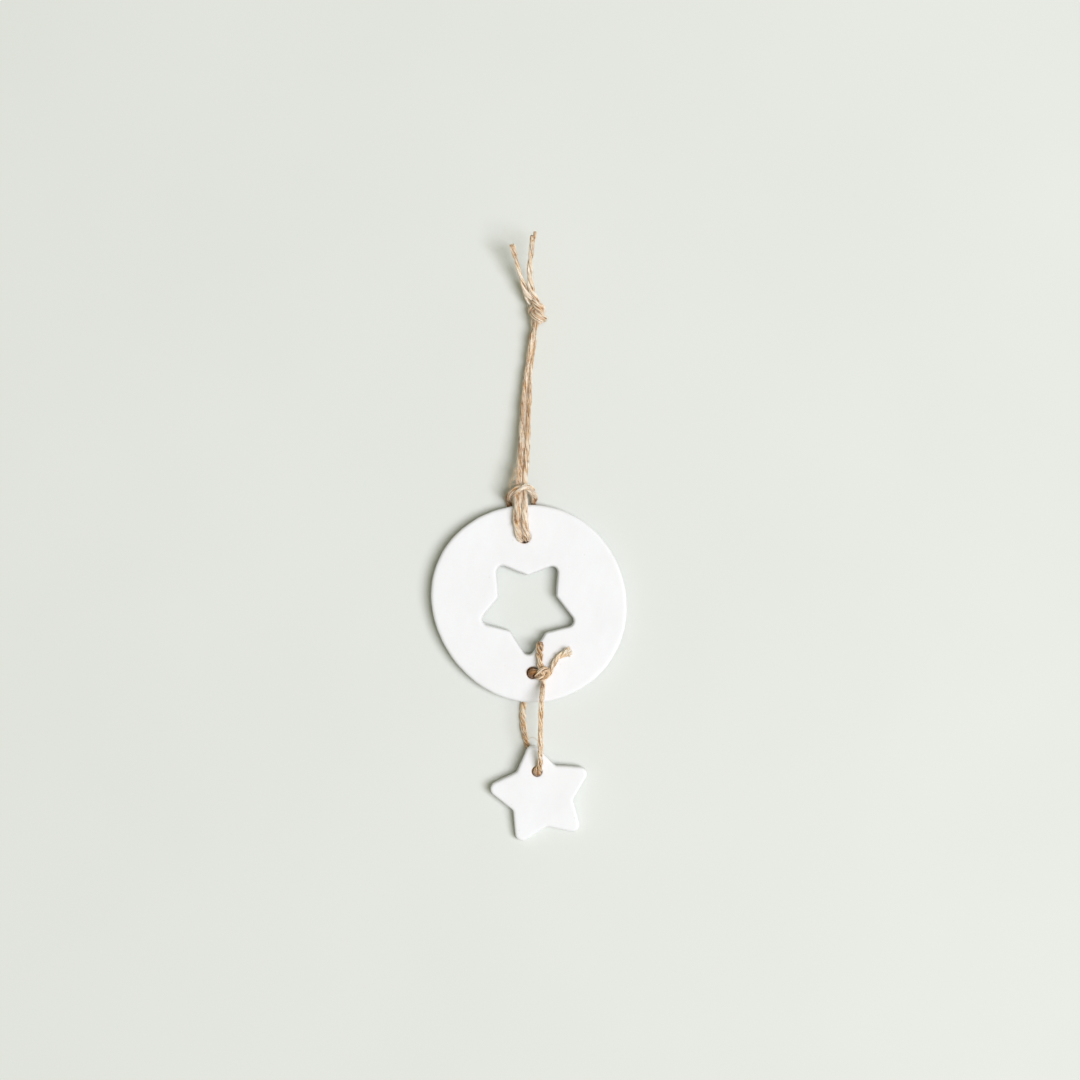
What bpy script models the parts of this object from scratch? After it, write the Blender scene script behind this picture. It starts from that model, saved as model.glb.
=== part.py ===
"""Clay hanging ornament: a white clay disc with a star cut out of it, hung on a jute loop,
with the cut-out star tied below it on a second, thinner piece of twine.

It lies on its back, as it would on a table. The disc is in the XY plane, +Y runs towards the
hanging loop and +Z is the side that faces the room. z = 0 is the table. Metres throughout.
"""

import math

import bmesh
import bpy
from mathutils import Matrix, Vector

MM = 0.001

# ---------------------------------------------------------------- sizes, in millimetres
CLAY_T = 4.0            # thickness of the rolled-out clay
EDGE_R = 0.9            # softened edges of the cut clay
GAP = 0.3               # between pieces that touch

DISC_R = 37.7           # mean: it was cut out by hand and isn't quite round
DISC_WAVES = ((1, 0.03, -0.33), (2, -0.20, -0.77), (3, -0.23, 0.30), (4, 0.02, -0.19))
DISC_C = (0.0, 21.4)
DISC_Z = 2.3            # underside: the disc lies on its own twine

CUT_C = (-0.8, 19.6)    # star-shaped opening, one point down
CUT_TIP, CUT_NOTCH = 21.0, 11.9
CUT_TIP_R, CUT_NOTCH_R = 2.3, 1.9

TOP_HOLE = (-2.1, 46.4)
TOP_HOLE_R = 2.4
LOW_HOLE = (1.2, -5.8)
LOW_HOLE_R = 2.2

STAR_TIP, STAR_NOTCH = 21.9, 12.3
STAR_TIP_R, STAR_NOTCH_R = 2.7, 2.0
STAR_TURN = 10.4        # degrees that the hanging star is turned
STAR_FROM_HOLE = (1.55, -9.25)   # star's middle, from its hole
STAR_HOLE_R = 1.85
STAR_HOLE = (2.9, -43.6, 4.14)  # middle of the hole, half way through the clay
STAR_TILT = 4.5         # degrees: its top edge lies on the twine, its lower points on the table

TWINE_R = 1.0           # hanging loop, 2 mm jute
LINK_R = 0.9            # star's twine, 1.8 mm jute
PAIR = 2.3              # between the middles of the two strands of the loop

# ---------------------------------------------------------------- joints, in millimetres
SWING = (-2.8, 70.5, 7.0)      # loop swings in the plane of the disc, about Z
SWING_R = 2.15                 # the strands' rounded ends there
FOLD = (-2.2, 79.7, 6.05)      # loop folds forwards and back, about X
FOLD_SET = 2.5                 # from the axis back to the middle of the ends it turns against
LOOP_TWIST = (-1.7, 92.0, 4.8) # the loop's two strands wind round each other, along them
LOOP_TWIST_AXIS = (0.9, 22.2, -2.3)
LINK_SWING = (1.2, -5.8, 4.8)  # star's twine swings about the disc's lower hole, about Z
LINK_TWIST = (1.2, -24.6, 7.2) # star's twine winds up and lets the star spin, along it
LINK_TWIST_AXIS = (1.7, -19.0, -3.06)
TWIST_GAP = 0.5


# ---------------------------------------------------------------- helpers
def vec(p):
    return Vector(p) * MM


def smooth(points, step):
    """Points `step` apart along a centripetal Catmull-Rom curve through `points`."""
    p = [Vector(q) for q in points]
    p = [p[0] * 2 - p[1]] + p + [p[-1] * 2 - p[-2]]
    fine = []
    for i in range(1, len(p) - 2):
        t = [0.0]
        for a, b in zip(p[i - 1:i + 2], p[i:i + 3]):
            t.append(t[-1] + max((b - a).length, 1e-6) ** 0.5)
        for k in range(24):
            u = t[1] + (t[2] - t[1]) * k / 24
            q = list(p[i - 1:i + 3])
            for level in (1, 2, 3):
                q = [
                    q[j] * ((t[j + level] - u) / (t[j + level] - t[j]))
                    + q[j + 1] * ((u - t[j]) / (t[j + level] - t[j]))
                    for j in range(len(q) - 1)
                ]
            fine.append(q[0])
    fine.append(p[-2])
    far = [0.0]
    for a, b in zip(fine, fine[1:]):
        far.append(far[-1] + (b - a).length)
    count = max(2, round(far[-1] / step))
    out, j = [], 0
    for k in range(count + 1):
        want = far[-1] * k / count
        while j < len(far) - 2 and far[j + 1] < want:
            j += 1
        share = (want - far[j]) / max(far[j + 1] - far[j], 1e-9)
        out.append(fine[j].lerp(fine[j + 1], min(share, 1.0)))
    return out


def no_lower(route, height):
    """The route, lifted where it would dip into the table."""
    return [Vector((p.x, p.y, max(p.z, height))) for p in route]


def along(table, at):
    """Straight-line interpolation in a table of (key, value...) rows."""
    if at <= table[0][0]:
        return table[0][1:]
    for low, high in zip(table, table[1:]):
        if at <= high[0]:
            share = (at - low[0]) / (high[0] - low[0])
            return tuple(a + (b - a) * share for a, b in zip(low[1:], high[1:]))
    return table[-1][1:]


def material(name, colour, roughness):
    m = bpy.data.materials.new(name)
    m.use_nodes = True
    m.diffuse_color = (*colour, 1.0)
    surface = m.node_tree.nodes["Principled BSDF"]
    surface.inputs["Base Color"].default_value = (*colour, 1.0)
    surface.inputs["Roughness"].default_value = roughness
    surface.inputs["Metallic"].default_value = 0.0
    return m


def empty(name, at, parent=None):
    e = bpy.data.objects.new(name, None)
    e.empty_display_size = 0.005
    e.location = vec(at) - (vec(parent["at"]) if parent else Vector())
    e["at"] = at
    e.parent = parent
    parts.objects.link(e)
    return e


def hang_on(obj, joint):
    """Parents a piece, whose points are measured from the joint, to that joint's empty."""
    obj.parent = joint
    return obj


def tube(name, route, radius, mat, joint, round_start=False, round_end=False):
    """A length of twine: `route` is in millimetres, in the ornament's frame."""
    origin = Vector(joint["at"])
    points = [(Vector(p) - origin, 1.0) for p in route]
    steps = [(t, math.sqrt(max(1 - t * t, 0.0))) for t in (0.5, 0.8, 0.96)]
    if round_end:
        end, out = points[-1][0], (points[-1][0] - points[-2][0]).normalized()
        points += [(end + out * radius * t, r) for t, r in steps]
    if round_start:
        end, out = points[0][0], (points[0][0] - points[1][0]).normalized()
        points = [(end + out * radius * t, r) for t, r in reversed(steps)] + points
    data = bpy.data.curves.new(name, "CURVE")
    data.dimensions = "3D"
    data.bevel_depth = radius * MM
    data.bevel_resolution = 2
    data.use_fill_caps = True
    spline = data.splines.new("POLY")
    spline.points.add(len(points) - 1)
    for target, (p, r) in zip(spline.points, points):
        target.co = (*(p * MM), 1.0)
        target.radius = r
    obj = bpy.data.objects.new(name, data)
    obj.data.materials.append(mat)
    parts.objects.link(obj)
    return hang_on(obj, joint)


def as_mesh(obj, collection=None):
    """The same piece as a mesh with its end caps welded."""
    bpy.context.view_layer.update()
    world, parent, name = obj.matrix_world.copy(), obj.parent, obj.name
    evaluated = obj.evaluated_get(bpy.context.evaluated_depsgraph_get())
    mesh = bpy.data.meshes.new_from_object(evaluated)
    bm = bmesh.new()
    bm.from_mesh(mesh)
    bmesh.ops.remove_doubles(bm, verts=bm.verts, dist=1e-6)
    bmesh.ops.recalc_face_normals(bm, faces=bm.faces)
    bm.to_mesh(mesh)
    bm.free()
    bpy.data.objects.remove(obj)
    made = bpy.data.objects.new(name, mesh)
    made.name = name
    (collection or parts).objects.link(made)
    made.parent = parent
    bpy.context.view_layer.update()
    made.matrix_world = world
    return made


def outline(points, spline_owner):
    spline = spline_owner.splines.new("POLY")
    spline.points.add(len(points) - 1)
    for target, (x, y) in zip(spline.points, points):
        target.co = (x * MM, y * MM, 0.0, 1.0)
    spline.use_cyclic_u = True


def circle(cx, cy, r, count):
    return [
        (cx + r * math.cos(2 * math.pi * k / count), cy + r * math.sin(2 * math.pi * k / count))
        for k in range(count)
    ]


def hand_cut(cx, cy, r, waves, count):
    """A circle that bulges a little: waves are (how many round the rim, cosine, sine)."""
    out = []
    for k in range(count):
        a = 2 * math.pi * k / count
        here = r + sum(c * math.cos(n * a) + s * math.sin(n * a) for n, c, s in waves)
        out.append((cx + here * math.cos(a), cy + here * math.sin(a)))
    return out


def star(cx, cy, tip, notch, tip_r, notch_r, turn, shrink=0.0, arc=6):
    """A five-pointed star with rounded points and notches, its edges moved in by `shrink`.
    `turn` is the direction of one point, in degrees."""
    half = math.atan2(notch * math.sin(math.pi / 5), tip - notch * math.cos(math.pi / 5))
    tip -= shrink / math.sin(half)
    notch -= shrink / math.sin(half + math.pi / 5)
    tip_r, notch_r = tip_r - shrink, notch_r + shrink
    corners = []
    for k in range(10):
        a = math.radians(turn + 36 * k)
        r = notch if k % 2 else tip
        corners.append(Vector((r * math.cos(a), r * math.sin(a))))
    out = []
    for k, here in enumerate(corners):
        before = (corners[k - 1] - here).normalized()
        after = (corners[(k + 1) % 10] - here).normalized()
        radius = notch_r if k % 2 else tip_r
        corner = before.angle(after) / 2
        middle = here + (before + after).normalized() * (radius / math.sin(corner))
        first = here + before * (radius / math.tan(corner)) - middle
        last = here + after * (radius / math.tan(corner)) - middle
        turned = first.angle_signed(last)
        for j in range(arc):
            spun = Matrix.Rotation(-turned * j / (arc - 1), 2) @ first
            out.append((cx + middle.x + spun.x, cy + middle.y + spun.y))
    return out


def slab(name, outlines, thickness, mat):
    """A flat piece of clay with softened edges. The first outline is its rim, the rest are openings."""
    data = bpy.data.curves.new(name, "CURVE")
    data.dimensions = "2D"
    data.fill_mode = "BOTH"
    data.extrude = (thickness / 2 - EDGE_R) * MM
    data.bevel_depth = EDGE_R * MM
    data.bevel_resolution = 1
    for points in outlines:
        outline(points, data)
    obj = bpy.data.objects.new(name, data)
    obj.data.materials.append(mat)
    parts.objects.link(obj)
    return obj


def lump(name, centre, size, turn, mat, joint):
    """A pulled-tight knot as one firm shape, a little squarer than an ellipsoid."""
    bm = bmesh.new()
    bmesh.ops.create_uvsphere(bm, u_segments=20, v_segments=12, radius=1.0)
    for v in bm.verts:
        power = 1 / (abs(v.co.x) ** 2.4 + abs(v.co.y) ** 2.4 + abs(v.co.z) ** 2.4) ** (1 / 2.4)
        v.co = v.co * power
        v.co = Vector((v.co.x * size[0], v.co.y * size[1], v.co.z * size[2])) * MM
    mesh = bpy.data.meshes.new(name)
    bm.to_mesh(mesh)
    bm.free()
    mesh.shade_smooth()
    obj = bpy.data.objects.new(name, mesh)
    obj.data.materials.append(mat)
    parts.objects.link(obj)
    hang_on(obj, joint)
    obj.location = vec(centre) - vec(joint["at"])
    obj.rotation_euler = (0.0, 0.0, math.radians(turn))
    return obj


def cutter(name, points, low, high, joint):
    """A flat shape from z = low to z = high, only there to cut with."""
    data = bpy.data.curves.new(name, "CURVE")
    data.dimensions = "2D"
    data.fill_mode = "BOTH"
    data.extrude = (high - low) / 2 * MM
    outline([(x - joint["at"][0], y - joint["at"][1]) for x, y in points], data)
    obj = bpy.data.objects.new(name, data)
    parts.objects.link(obj)
    hang_on(obj, joint)
    obj.location = (0.0, 0.0, ((high + low) / 2 - joint["at"][2]) * MM)
    made = as_mesh(obj, cutters)
    parts_objects = parts.objects
    if made.name in parts_objects:
        parts_objects.unlink(made)
    made.hide_render = True
    made.display_type = "WIRE"
    return made


def cut(obj, tool, operation):
    b = obj.modifiers.new(f"{operation.lower()} {tool.name}", "BOOLEAN")
    b.object = tool
    b.operation = operation
    b.solver = "EXACT"


def shade(obj, angle=40):
    if obj.type == "MESH":
        obj.data.shade_smooth()
        obj.data.set_sharp_from_angle(angle=math.radians(angle))


# ---------------------------------------------------------------- a clean scene
for old in list(bpy.data.objects):
    bpy.data.objects.remove(old)
parts = bpy.data.collections.new("clay_star_ornament")
cutters = bpy.data.collections.new("cutters")
bpy.context.scene.collection.children.link(parts)
bpy.context.scene.collection.children.link(cutters)

clay = material("white_clay", (0.90, 0.90, 0.89), 0.72)
star_clay = material("white_clay_star", (0.90, 0.90, 0.89), 0.72)
jute = material("jute_twine", (0.58, 0.40, 0.22), 0.85)
jute_knot = material("jute_knot", (0.54, 0.37, 0.20), 0.85)
jute_link = material("jute_twine_thin", (0.56, 0.37, 0.20), 0.85)
jute_link_knot = material("jute_thin_knot", (0.52, 0.35, 0.19), 0.85)

ornament = empty("ornament", (0.0, 0.0, 0.0))
swing = empty("hanger_swing_axis", SWING, ornament)
fold = empty("hanger_fold_axis", FOLD, swing)
loop_twist = empty("hanger_twist_axis", LOOP_TWIST, fold)
link_swing = empty("link_swing_axis", LINK_SWING, ornament)
link_twist = empty("link_twist_axis", LINK_TWIST, link_swing)
star_turn = empty("star_turn_axis", STAR_HOLE, link_twist)

# ---------------------------------------------------------------- the disc
disc = slab(
    "clay_disc",
    [
        hand_cut(*DISC_C, DISC_R - EDGE_R, DISC_WAVES, 96),
        star(*CUT_C, CUT_TIP, CUT_NOTCH, CUT_TIP_R, CUT_NOTCH_R, -90, shrink=-EDGE_R),
        circle(*TOP_HOLE, TOP_HOLE_R + EDGE_R, 24),
        circle(*LOW_HOLE, LOW_HOLE_R + EDGE_R, 24),
    ],
    CLAY_T,
    clay,
)
disc.parent = ornament
disc.location = (0.0, 0.0, (DISC_Z + CLAY_T / 2) * MM)

# ---------------------------------------------------------------- the hanging star
hung = slab(
    "clay_star",
    [
        star(
            *STAR_FROM_HOLE, STAR_TIP, STAR_NOTCH, STAR_TIP_R, STAR_NOTCH_R,
            90 + STAR_TURN, shrink=EDGE_R,
        ),
        circle(0.0, 0.0, STAR_HOLE_R + EDGE_R * 0.7, 24),
    ],
    CLAY_T,
    star_clay,
)
hung.parent = star_turn
hung.rotation_euler = (math.radians(STAR_TILT), 0.0, 0.0)

# ---------------------------------------------------------------- the hanging loop
# middle of the two strands above the disc: y, x, z, and how far the left one has climbed
# on top of the right one, in degrees
PAIR_LINE = [
    (59.0, -3.1, 7.6, 0.0),
    (62.0, -3.0, 7.4, 0.0),
    (65.1, -3.0, 7.2, 0.0),
    (68.2, -2.95, 7.1, 0.0),
    (70.5, -2.8, 7.0, 0.0),
    (74.7, -2.55, 6.55, 0.0),
    (79.7, -2.2, 6.05, 0.0),
    (83.9, -2.0, 5.6, 0.0),
    (92.0, -1.7, 4.8, 3.0),
    (95.8, -1.55, 4.5, 9.0),
    (101.0, -1.35, 4.1, 25.0),
    (106.2, -1.0, 3.8, 43.0),
    (112.0, -0.4, 3.55, 56.0),
    (117.7, 0.4, 3.4, 65.0),
    (122.0, 1.05, 3.45, 70.0),
    (126.4, 1.65, 3.5, 73.0),
]


def pair_at(y, side):
    """A point on the loop's left (-1) or right (+1) strand, with its middle line."""
    x, z, climb = along(PAIR_LINE, y)
    lean = math.radians(climb)
    return (x + side * PAIR / 2 * math.cos(lean), y, z - side * PAIR / 2 * math.sin(lean))


def strand(low, high, side, step=4.0, first=None, last=None):
    ys = [low] + [row[0] for row in PAIR_LINE if low + 1.2 < row[0] < high - 1.2] + [high]
    return smooth([pair_at(y, side) for y in ys], step)


# Lark's head: the strands come down over the face, through the top hole, part behind the
# disc and meet again in a bight that holds them down just past the rim.
left_half = [
    pair_at(70.5, -1),
    pair_at(68.2, -1),
    (-4.2, 65.1, 7.15),
    (-4.4, 62.0, 7.4),
    (-4.6, 59.0, 7.62),
    (-4.6, 54.8, 7.62),
    (-4.5, 50.9, 7.65),
    (-4.0, 48.9, 7.62),
    (-3.65, 47.9, 7.35),
    (-3.3, 47.0, 6.6),
    (-3.2, 46.5, 5.42),
    (-3.2, 46.4, 3.5),
    (-3.3, 47.0, 2.1),
    (-3.6, 49.0, 1.05),
    (-5.0, 52.8, 1.0),
    (-6.5, 56.3, 1.0),
    (-7.6, 58.6, 1.05),
    (-8.0, 60.2, 1.7),
    (-8.0, 61.4, 3.5),
    (-7.6, 62.6, 5.58),
    (-6.6, 63.8, 7.9),
    (-5.0, 64.8, 9.2),
]
right_half = [
    (-1.0, 65.3, 9.25),
    (0.6, 64.3, 7.9),
    (1.6, 62.9, 5.58),
    (1.95, 61.5, 3.5),
    (1.95, 60.2, 1.7),
    (1.7, 58.6, 1.05),
    (1.3, 56.5, 1.0),
    (0.4, 52.8, 1.0),
    (-0.6, 49.0, 1.05),
    (-0.9, 47.0, 2.1),
    (-1.0, 46.4, 3.5),
    (-1.0, 46.5, 5.42),
    (-1.1, 47.0, 6.6),
    (-1.25, 47.9, 7.35),
    (-1.4, 48.9, 7.6),
    (-1.6, 50.9, 7.65),
    (-1.6, 54.8, 7.62),
    (-1.6, 59.0, 7.62),
    (-1.6, 62.0, 7.4),
    (-1.75, 65.1, 7.15),
    pair_at(68.2, 1),
    pair_at(70.5, 1),
]
hitch = as_mesh(
    tube(
        "hanger_hitch",
        no_lower(smooth(left_half + [(-2.95, 65.45, 9.55)] + right_half, 1.1), TWINE_R),
        TWINE_R, jute_knot, ornament,
    )
)
socket = cutter(
    "swing_socket", circle(SWING[0], SWING[1], SWING_R + GAP, 48), 3.0, 11.0, ornament
)
cut(hitch, socket, "DIFFERENCE")
shade(hitch)

# the strands between the swing and the fold: round ends towards the disc
round_end = [
    (SWING[0] + SWING_R * math.cos(a), SWING[1] + SWING_R * math.sin(a))
    for a in (math.pi + math.pi * k / 24 for k in range(25))
]
neck_shape = cutter(
    "neck_shape",
    round_end + [(SWING[0] + SWING_R + 1.0, SWING[1]), (SWING[0] + SWING_R + 1.0, 84.0),
                 (SWING[0] - SWING_R - 1.0, 84.0), (SWING[0] - SWING_R - 1.0, SWING[1])],
    3.0, 11.0, swing,
)
for side, name in ((-1, "hanger_neck_left"), (1, "hanger_neck_right")):
    neck = as_mesh(
        tube(name, strand(67.4, FOLD[1] - FOLD_SET, side, 2.0), TWINE_R, jute, swing,
             round_end=True)
    )
    cut(neck, neck_shape, "INTERSECT")
    shade(neck)

# from the fold to where the strands wind round each other
for side, name in ((-1, "hanger_strand_left"), (1, "hanger_strand_right")):
    tube(name, strand(FOLD[1], LOOP_TWIST[1] - TWIST_GAP / 2, side, 3.0), TWINE_R, jute, fold,
         round_start=True)

# the rest of the loop, up to its knot
for side, name in ((-1, "hanger_loop_left"), (1, "hanger_loop_right")):
    tube(name, strand(LOOP_TWIST[1] + TWIST_GAP / 2, 127.2, side, 3.0), TWINE_R, jute,
         loop_twist)

lump("hanger_knot", (3.0, 132.2, 3.6), (3.4, 4.6, 3.4), -8, jute_knot, loop_twist)

tube(
    "hanger_tail_left",
    smooth([(0.9, 136.4, 4.3), (-0.5, 139.2, 5.3), (-2.5, 144.4, 7.1), (-4.9, 151.5, 9.6),
            (-6.7, 157.9, 12.4)], 3.0),
    TWINE_R * 0.95, jute, loop_twist,
)
tube(
    "hanger_tail_right",
    smooth([(2.8, 137.5, 3.9), (2.1, 139.6, 5.3), (0.5, 144.4, 8.8), (0.0, 150.3, 12.7),
            (0.7, 156.2, 16.0), (1.7, 163.3, 19.0)], 3.0),
    TWINE_R * 0.95, jute, loop_twist,
)

# ---------------------------------------------------------------- the star's twine
FACE = DISC_Z + CLAY_T
lump("link_knot", (5.25, -5.7, FACE + GAP + 2.05), (2.8, 2.7, 2.05), 0, jute_link_knot,
     link_swing)
tube(
    "link_tail_up",
    smooth([(4.4, -2.6, 8.3), (4.15, -0.4, 7.8), (4.1, 3.4, 7.6), (4.1, 6.2, 7.7)], 2.0),
    LINK_R, jute_link, link_swing,
)
tube(
    "link_tail_side",
    smooth([(8.55, -4.05, 8.35), (9.35, -2.5, 8.0), (10.7, -0.8, 7.75), (12.7, 0.9, 7.75),
            (14.9, 2.5, 7.95)], 2.0),
    LINK_R, jute_link, link_swing,
)



def link_end(x, z, side):
    """Where a strand at (x, z) ends, just above (+1) or below (-1) the plane it twists in."""
    ax, ay, az = LINK_TWIST_AXIS
    level = ((x - LINK_TWIST[0]) * ax + (z - LINK_TWIST[2]) * az) / -ay
    return (x, LINK_TWIST[1] + level + side * TWIST_GAP / 2, z)


# through the disc's lower hole, then down behind the disc
tube(
    "link_strand_back",
    smooth([(1.25, -5.75, 9.2), (1.2, -5.8, 7.5), (1.2, -5.8, 5.3), (1.2, -5.85, 3.6),
            (1.1, -6.3, 2.15), (0.8, -7.9, 1.15), (-0.2, -11.6, 0.95), (-1.6, -17.1, 0.95),
            (-2.1, -20.8, 0.95), link_end(-2.0, 0.95, 1)], 1.2),
    LINK_R, jute_link, link_swing,
)
tube(
    "link_strand_front",
    smooth([(5.2, -8.95, 8.3), (5.05, -11.6, 10.4), (4.75, -15.8, 12.4), (4.45, -20.8, 13.4),
            link_end(4.3, 13.5, 1)], 3.0),
    LINK_R, jute_link, link_swing,
)

# through the star's own hole and back
tube(
    "link_star_bight",
    smooth([link_end(4.3, 13.5, -1), (4.2, -29.6, 13.3), (4.2, -33.5, 12.6), (4.2, -37.3, 11.2),
            (4.1, -40.4, 9.4), (3.7, -42.4, 7.7), (3.2, -43.6, 6.2), (2.95, -43.75, 4.9),
            (2.85, -43.5, 3.6), (2.6, -43.1, 2.15), (1.9, -41.3, 1.1), (0.6, -38.1, 0.95),
            (-0.6, -34.2, 0.95), (-1.2, -30.8, 0.95), (-1.7, -28.0, 0.95),
            link_end(-2.0, 0.95, -1)], 0.9),
    LINK_R, jute_link, link_twist,
)
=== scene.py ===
"""Looks of the clay star ornament: two pieces of hand-cut white clay and two lengths of jute
twine, built fibre by fibre. Lengths are in millimetres until a mesh is made."""

import math

import bpy
import numpy as np
from mathutils import Matrix, Vector
from mathutils.geometry import delaunay_2d_cdt


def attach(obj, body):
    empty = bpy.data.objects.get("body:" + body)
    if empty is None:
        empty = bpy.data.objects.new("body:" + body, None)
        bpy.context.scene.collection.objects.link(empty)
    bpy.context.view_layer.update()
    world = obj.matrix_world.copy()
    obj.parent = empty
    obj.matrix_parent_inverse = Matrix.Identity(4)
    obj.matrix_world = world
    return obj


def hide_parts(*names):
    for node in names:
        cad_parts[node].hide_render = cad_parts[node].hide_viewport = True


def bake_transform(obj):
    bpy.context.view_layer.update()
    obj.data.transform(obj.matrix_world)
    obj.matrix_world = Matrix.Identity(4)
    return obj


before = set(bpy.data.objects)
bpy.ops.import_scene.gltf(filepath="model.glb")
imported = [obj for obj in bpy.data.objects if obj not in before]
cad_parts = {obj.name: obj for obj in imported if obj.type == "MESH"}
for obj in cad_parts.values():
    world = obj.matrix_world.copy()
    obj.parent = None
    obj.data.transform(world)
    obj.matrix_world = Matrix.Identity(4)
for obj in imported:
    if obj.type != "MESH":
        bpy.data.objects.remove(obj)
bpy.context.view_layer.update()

MM = 0.001

# ---------------------------------------------------------------- sizes that part.py has too
CLAY_T = 4.0
DISC_R, DISC_C, DISC_Z = 37.7, (0.0, 21.4), 2.3
DISC_WAVES = ((1, 0.03, -0.33), (2, -0.20, -0.77), (3, -0.23, 0.30), (4, 0.02, -0.19))
CUT_C, CUT_TIP, CUT_NOTCH, CUT_TIP_R, CUT_NOTCH_R = (-0.8, 19.6), 21.0, 11.9, 2.3, 1.9
TOP_HOLE, TOP_HOLE_R = (-2.1, 46.4), 2.4
LOW_HOLE, LOW_HOLE_R = (1.2, -5.8), 2.2
STAR_TIP, STAR_NOTCH, STAR_TIP_R, STAR_NOTCH_R = 21.9, 12.3, 2.7, 2.0
STAR_TURN, STAR_FROM_HOLE, STAR_HOLE_R = 10.4, (1.55, -9.25), 1.85
STAR_HOLE, STAR_TILT = (2.9, -43.6, 4.14), 4.5
# cut by hand: corners of the two stars that aren't where an even star has them
CUT_PULLED = ((0, 0.3, 0.5), (1, 0.0, -0.2), (2, -0.6, -0.4), (3, -0.4, 0.5), (4, -0.5, -0.4),
              (7, 0.2, 0.0), (8, 0.6, 0.4), (9, 0.3, 0.4))
STAR_PULLED = ((0, 0.0, -0.3), (1, -0.5, 0.4), (8, 0.2, 0.3), (9, 0.0, 0.3))

# ---------------------------------------------------------------- camera: straight down
lens = bpy.data.cameras.new("camera")
lens.sensor_fit = "HORIZONTAL"
lens.sensor_width = 36.0
camera = bpy.data.objects.new("camera", lens)
bpy.context.scene.collection.objects.link(camera)
FRAME_WIDTH = 414.3          # millimetres across the picture, at the height of the clay's face
CAMERA_HIGH = 1000.0
lens.lens = 36.0 * CAMERA_HIGH / FRAME_WIDTH
camera.location = (4.03 * MM, 45.17 * MM, (CAMERA_HIGH + 6.0) * MM)
bpy.context.scene.camera = camera


# ---------------------------------------------------------------- lines
def even(p, count):
    """count points spaced evenly along the line p."""
    far = np.concatenate([[0.0], np.cumsum(np.linalg.norm(np.diff(p, axis=0), axis=1))])
    at = np.linspace(0.0, far[-1], count)
    return np.stack([np.interp(at, far, p[:, k]) for k in range(3)], 1)


def smooth(points, step):
    """Points about `step` apart along a centripetal Catmull-Rom curve through `points`."""
    p = np.array(points, float)
    p = np.concatenate([[2 * p[0] - p[1]], p, [2 * p[-1] - p[-2]]])
    fine = []
    for i in range(1, len(p) - 2):
        q = p[i - 1:i + 3]
        t = np.concatenate([[0.0], np.cumsum(np.sqrt(np.maximum(
            np.linalg.norm(np.diff(q, axis=0), axis=1), 1e-6)))])
        u = np.linspace(t[1], t[2], 17)[:-1, None]
        rows = [np.broadcast_to(row, (len(u), 3)) for row in q]
        for level in (1, 2, 3):
            rows = [
                (rows[j] * (t[j + level] - u) + rows[j + 1] * (u - t[j])) / (t[j + level] - t[j])
                for j in range(len(rows) - 1)
            ]
        fine.append(rows[0])
    fine = np.concatenate(fine + [p[-2:-1]])
    total = np.linalg.norm(np.diff(fine, axis=0), axis=1).sum()
    return even(fine, max(3, int(round(total / step)) + 1))


def transport(p):
    """Tangents of the line p, and two sideways directions that don't twist about it."""
    t = np.gradient(p, axis=0)
    t /= np.linalg.norm(t, axis=1)[:, None]
    n = np.zeros_like(p)
    side = np.cross(t[0], (0.0, 0.0, 1.0))
    if np.linalg.norm(side) < 0.1:
        side = np.cross(t[0], (1.0, 0.0, 0.0))
    n[0] = side / np.linalg.norm(side)
    for i in range(1, len(p)):
        v = n[i - 1] - t[i] * np.dot(n[i - 1], t[i])
        n[i] = v / np.linalg.norm(v)
    return t, n, np.cross(t, n)


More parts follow.
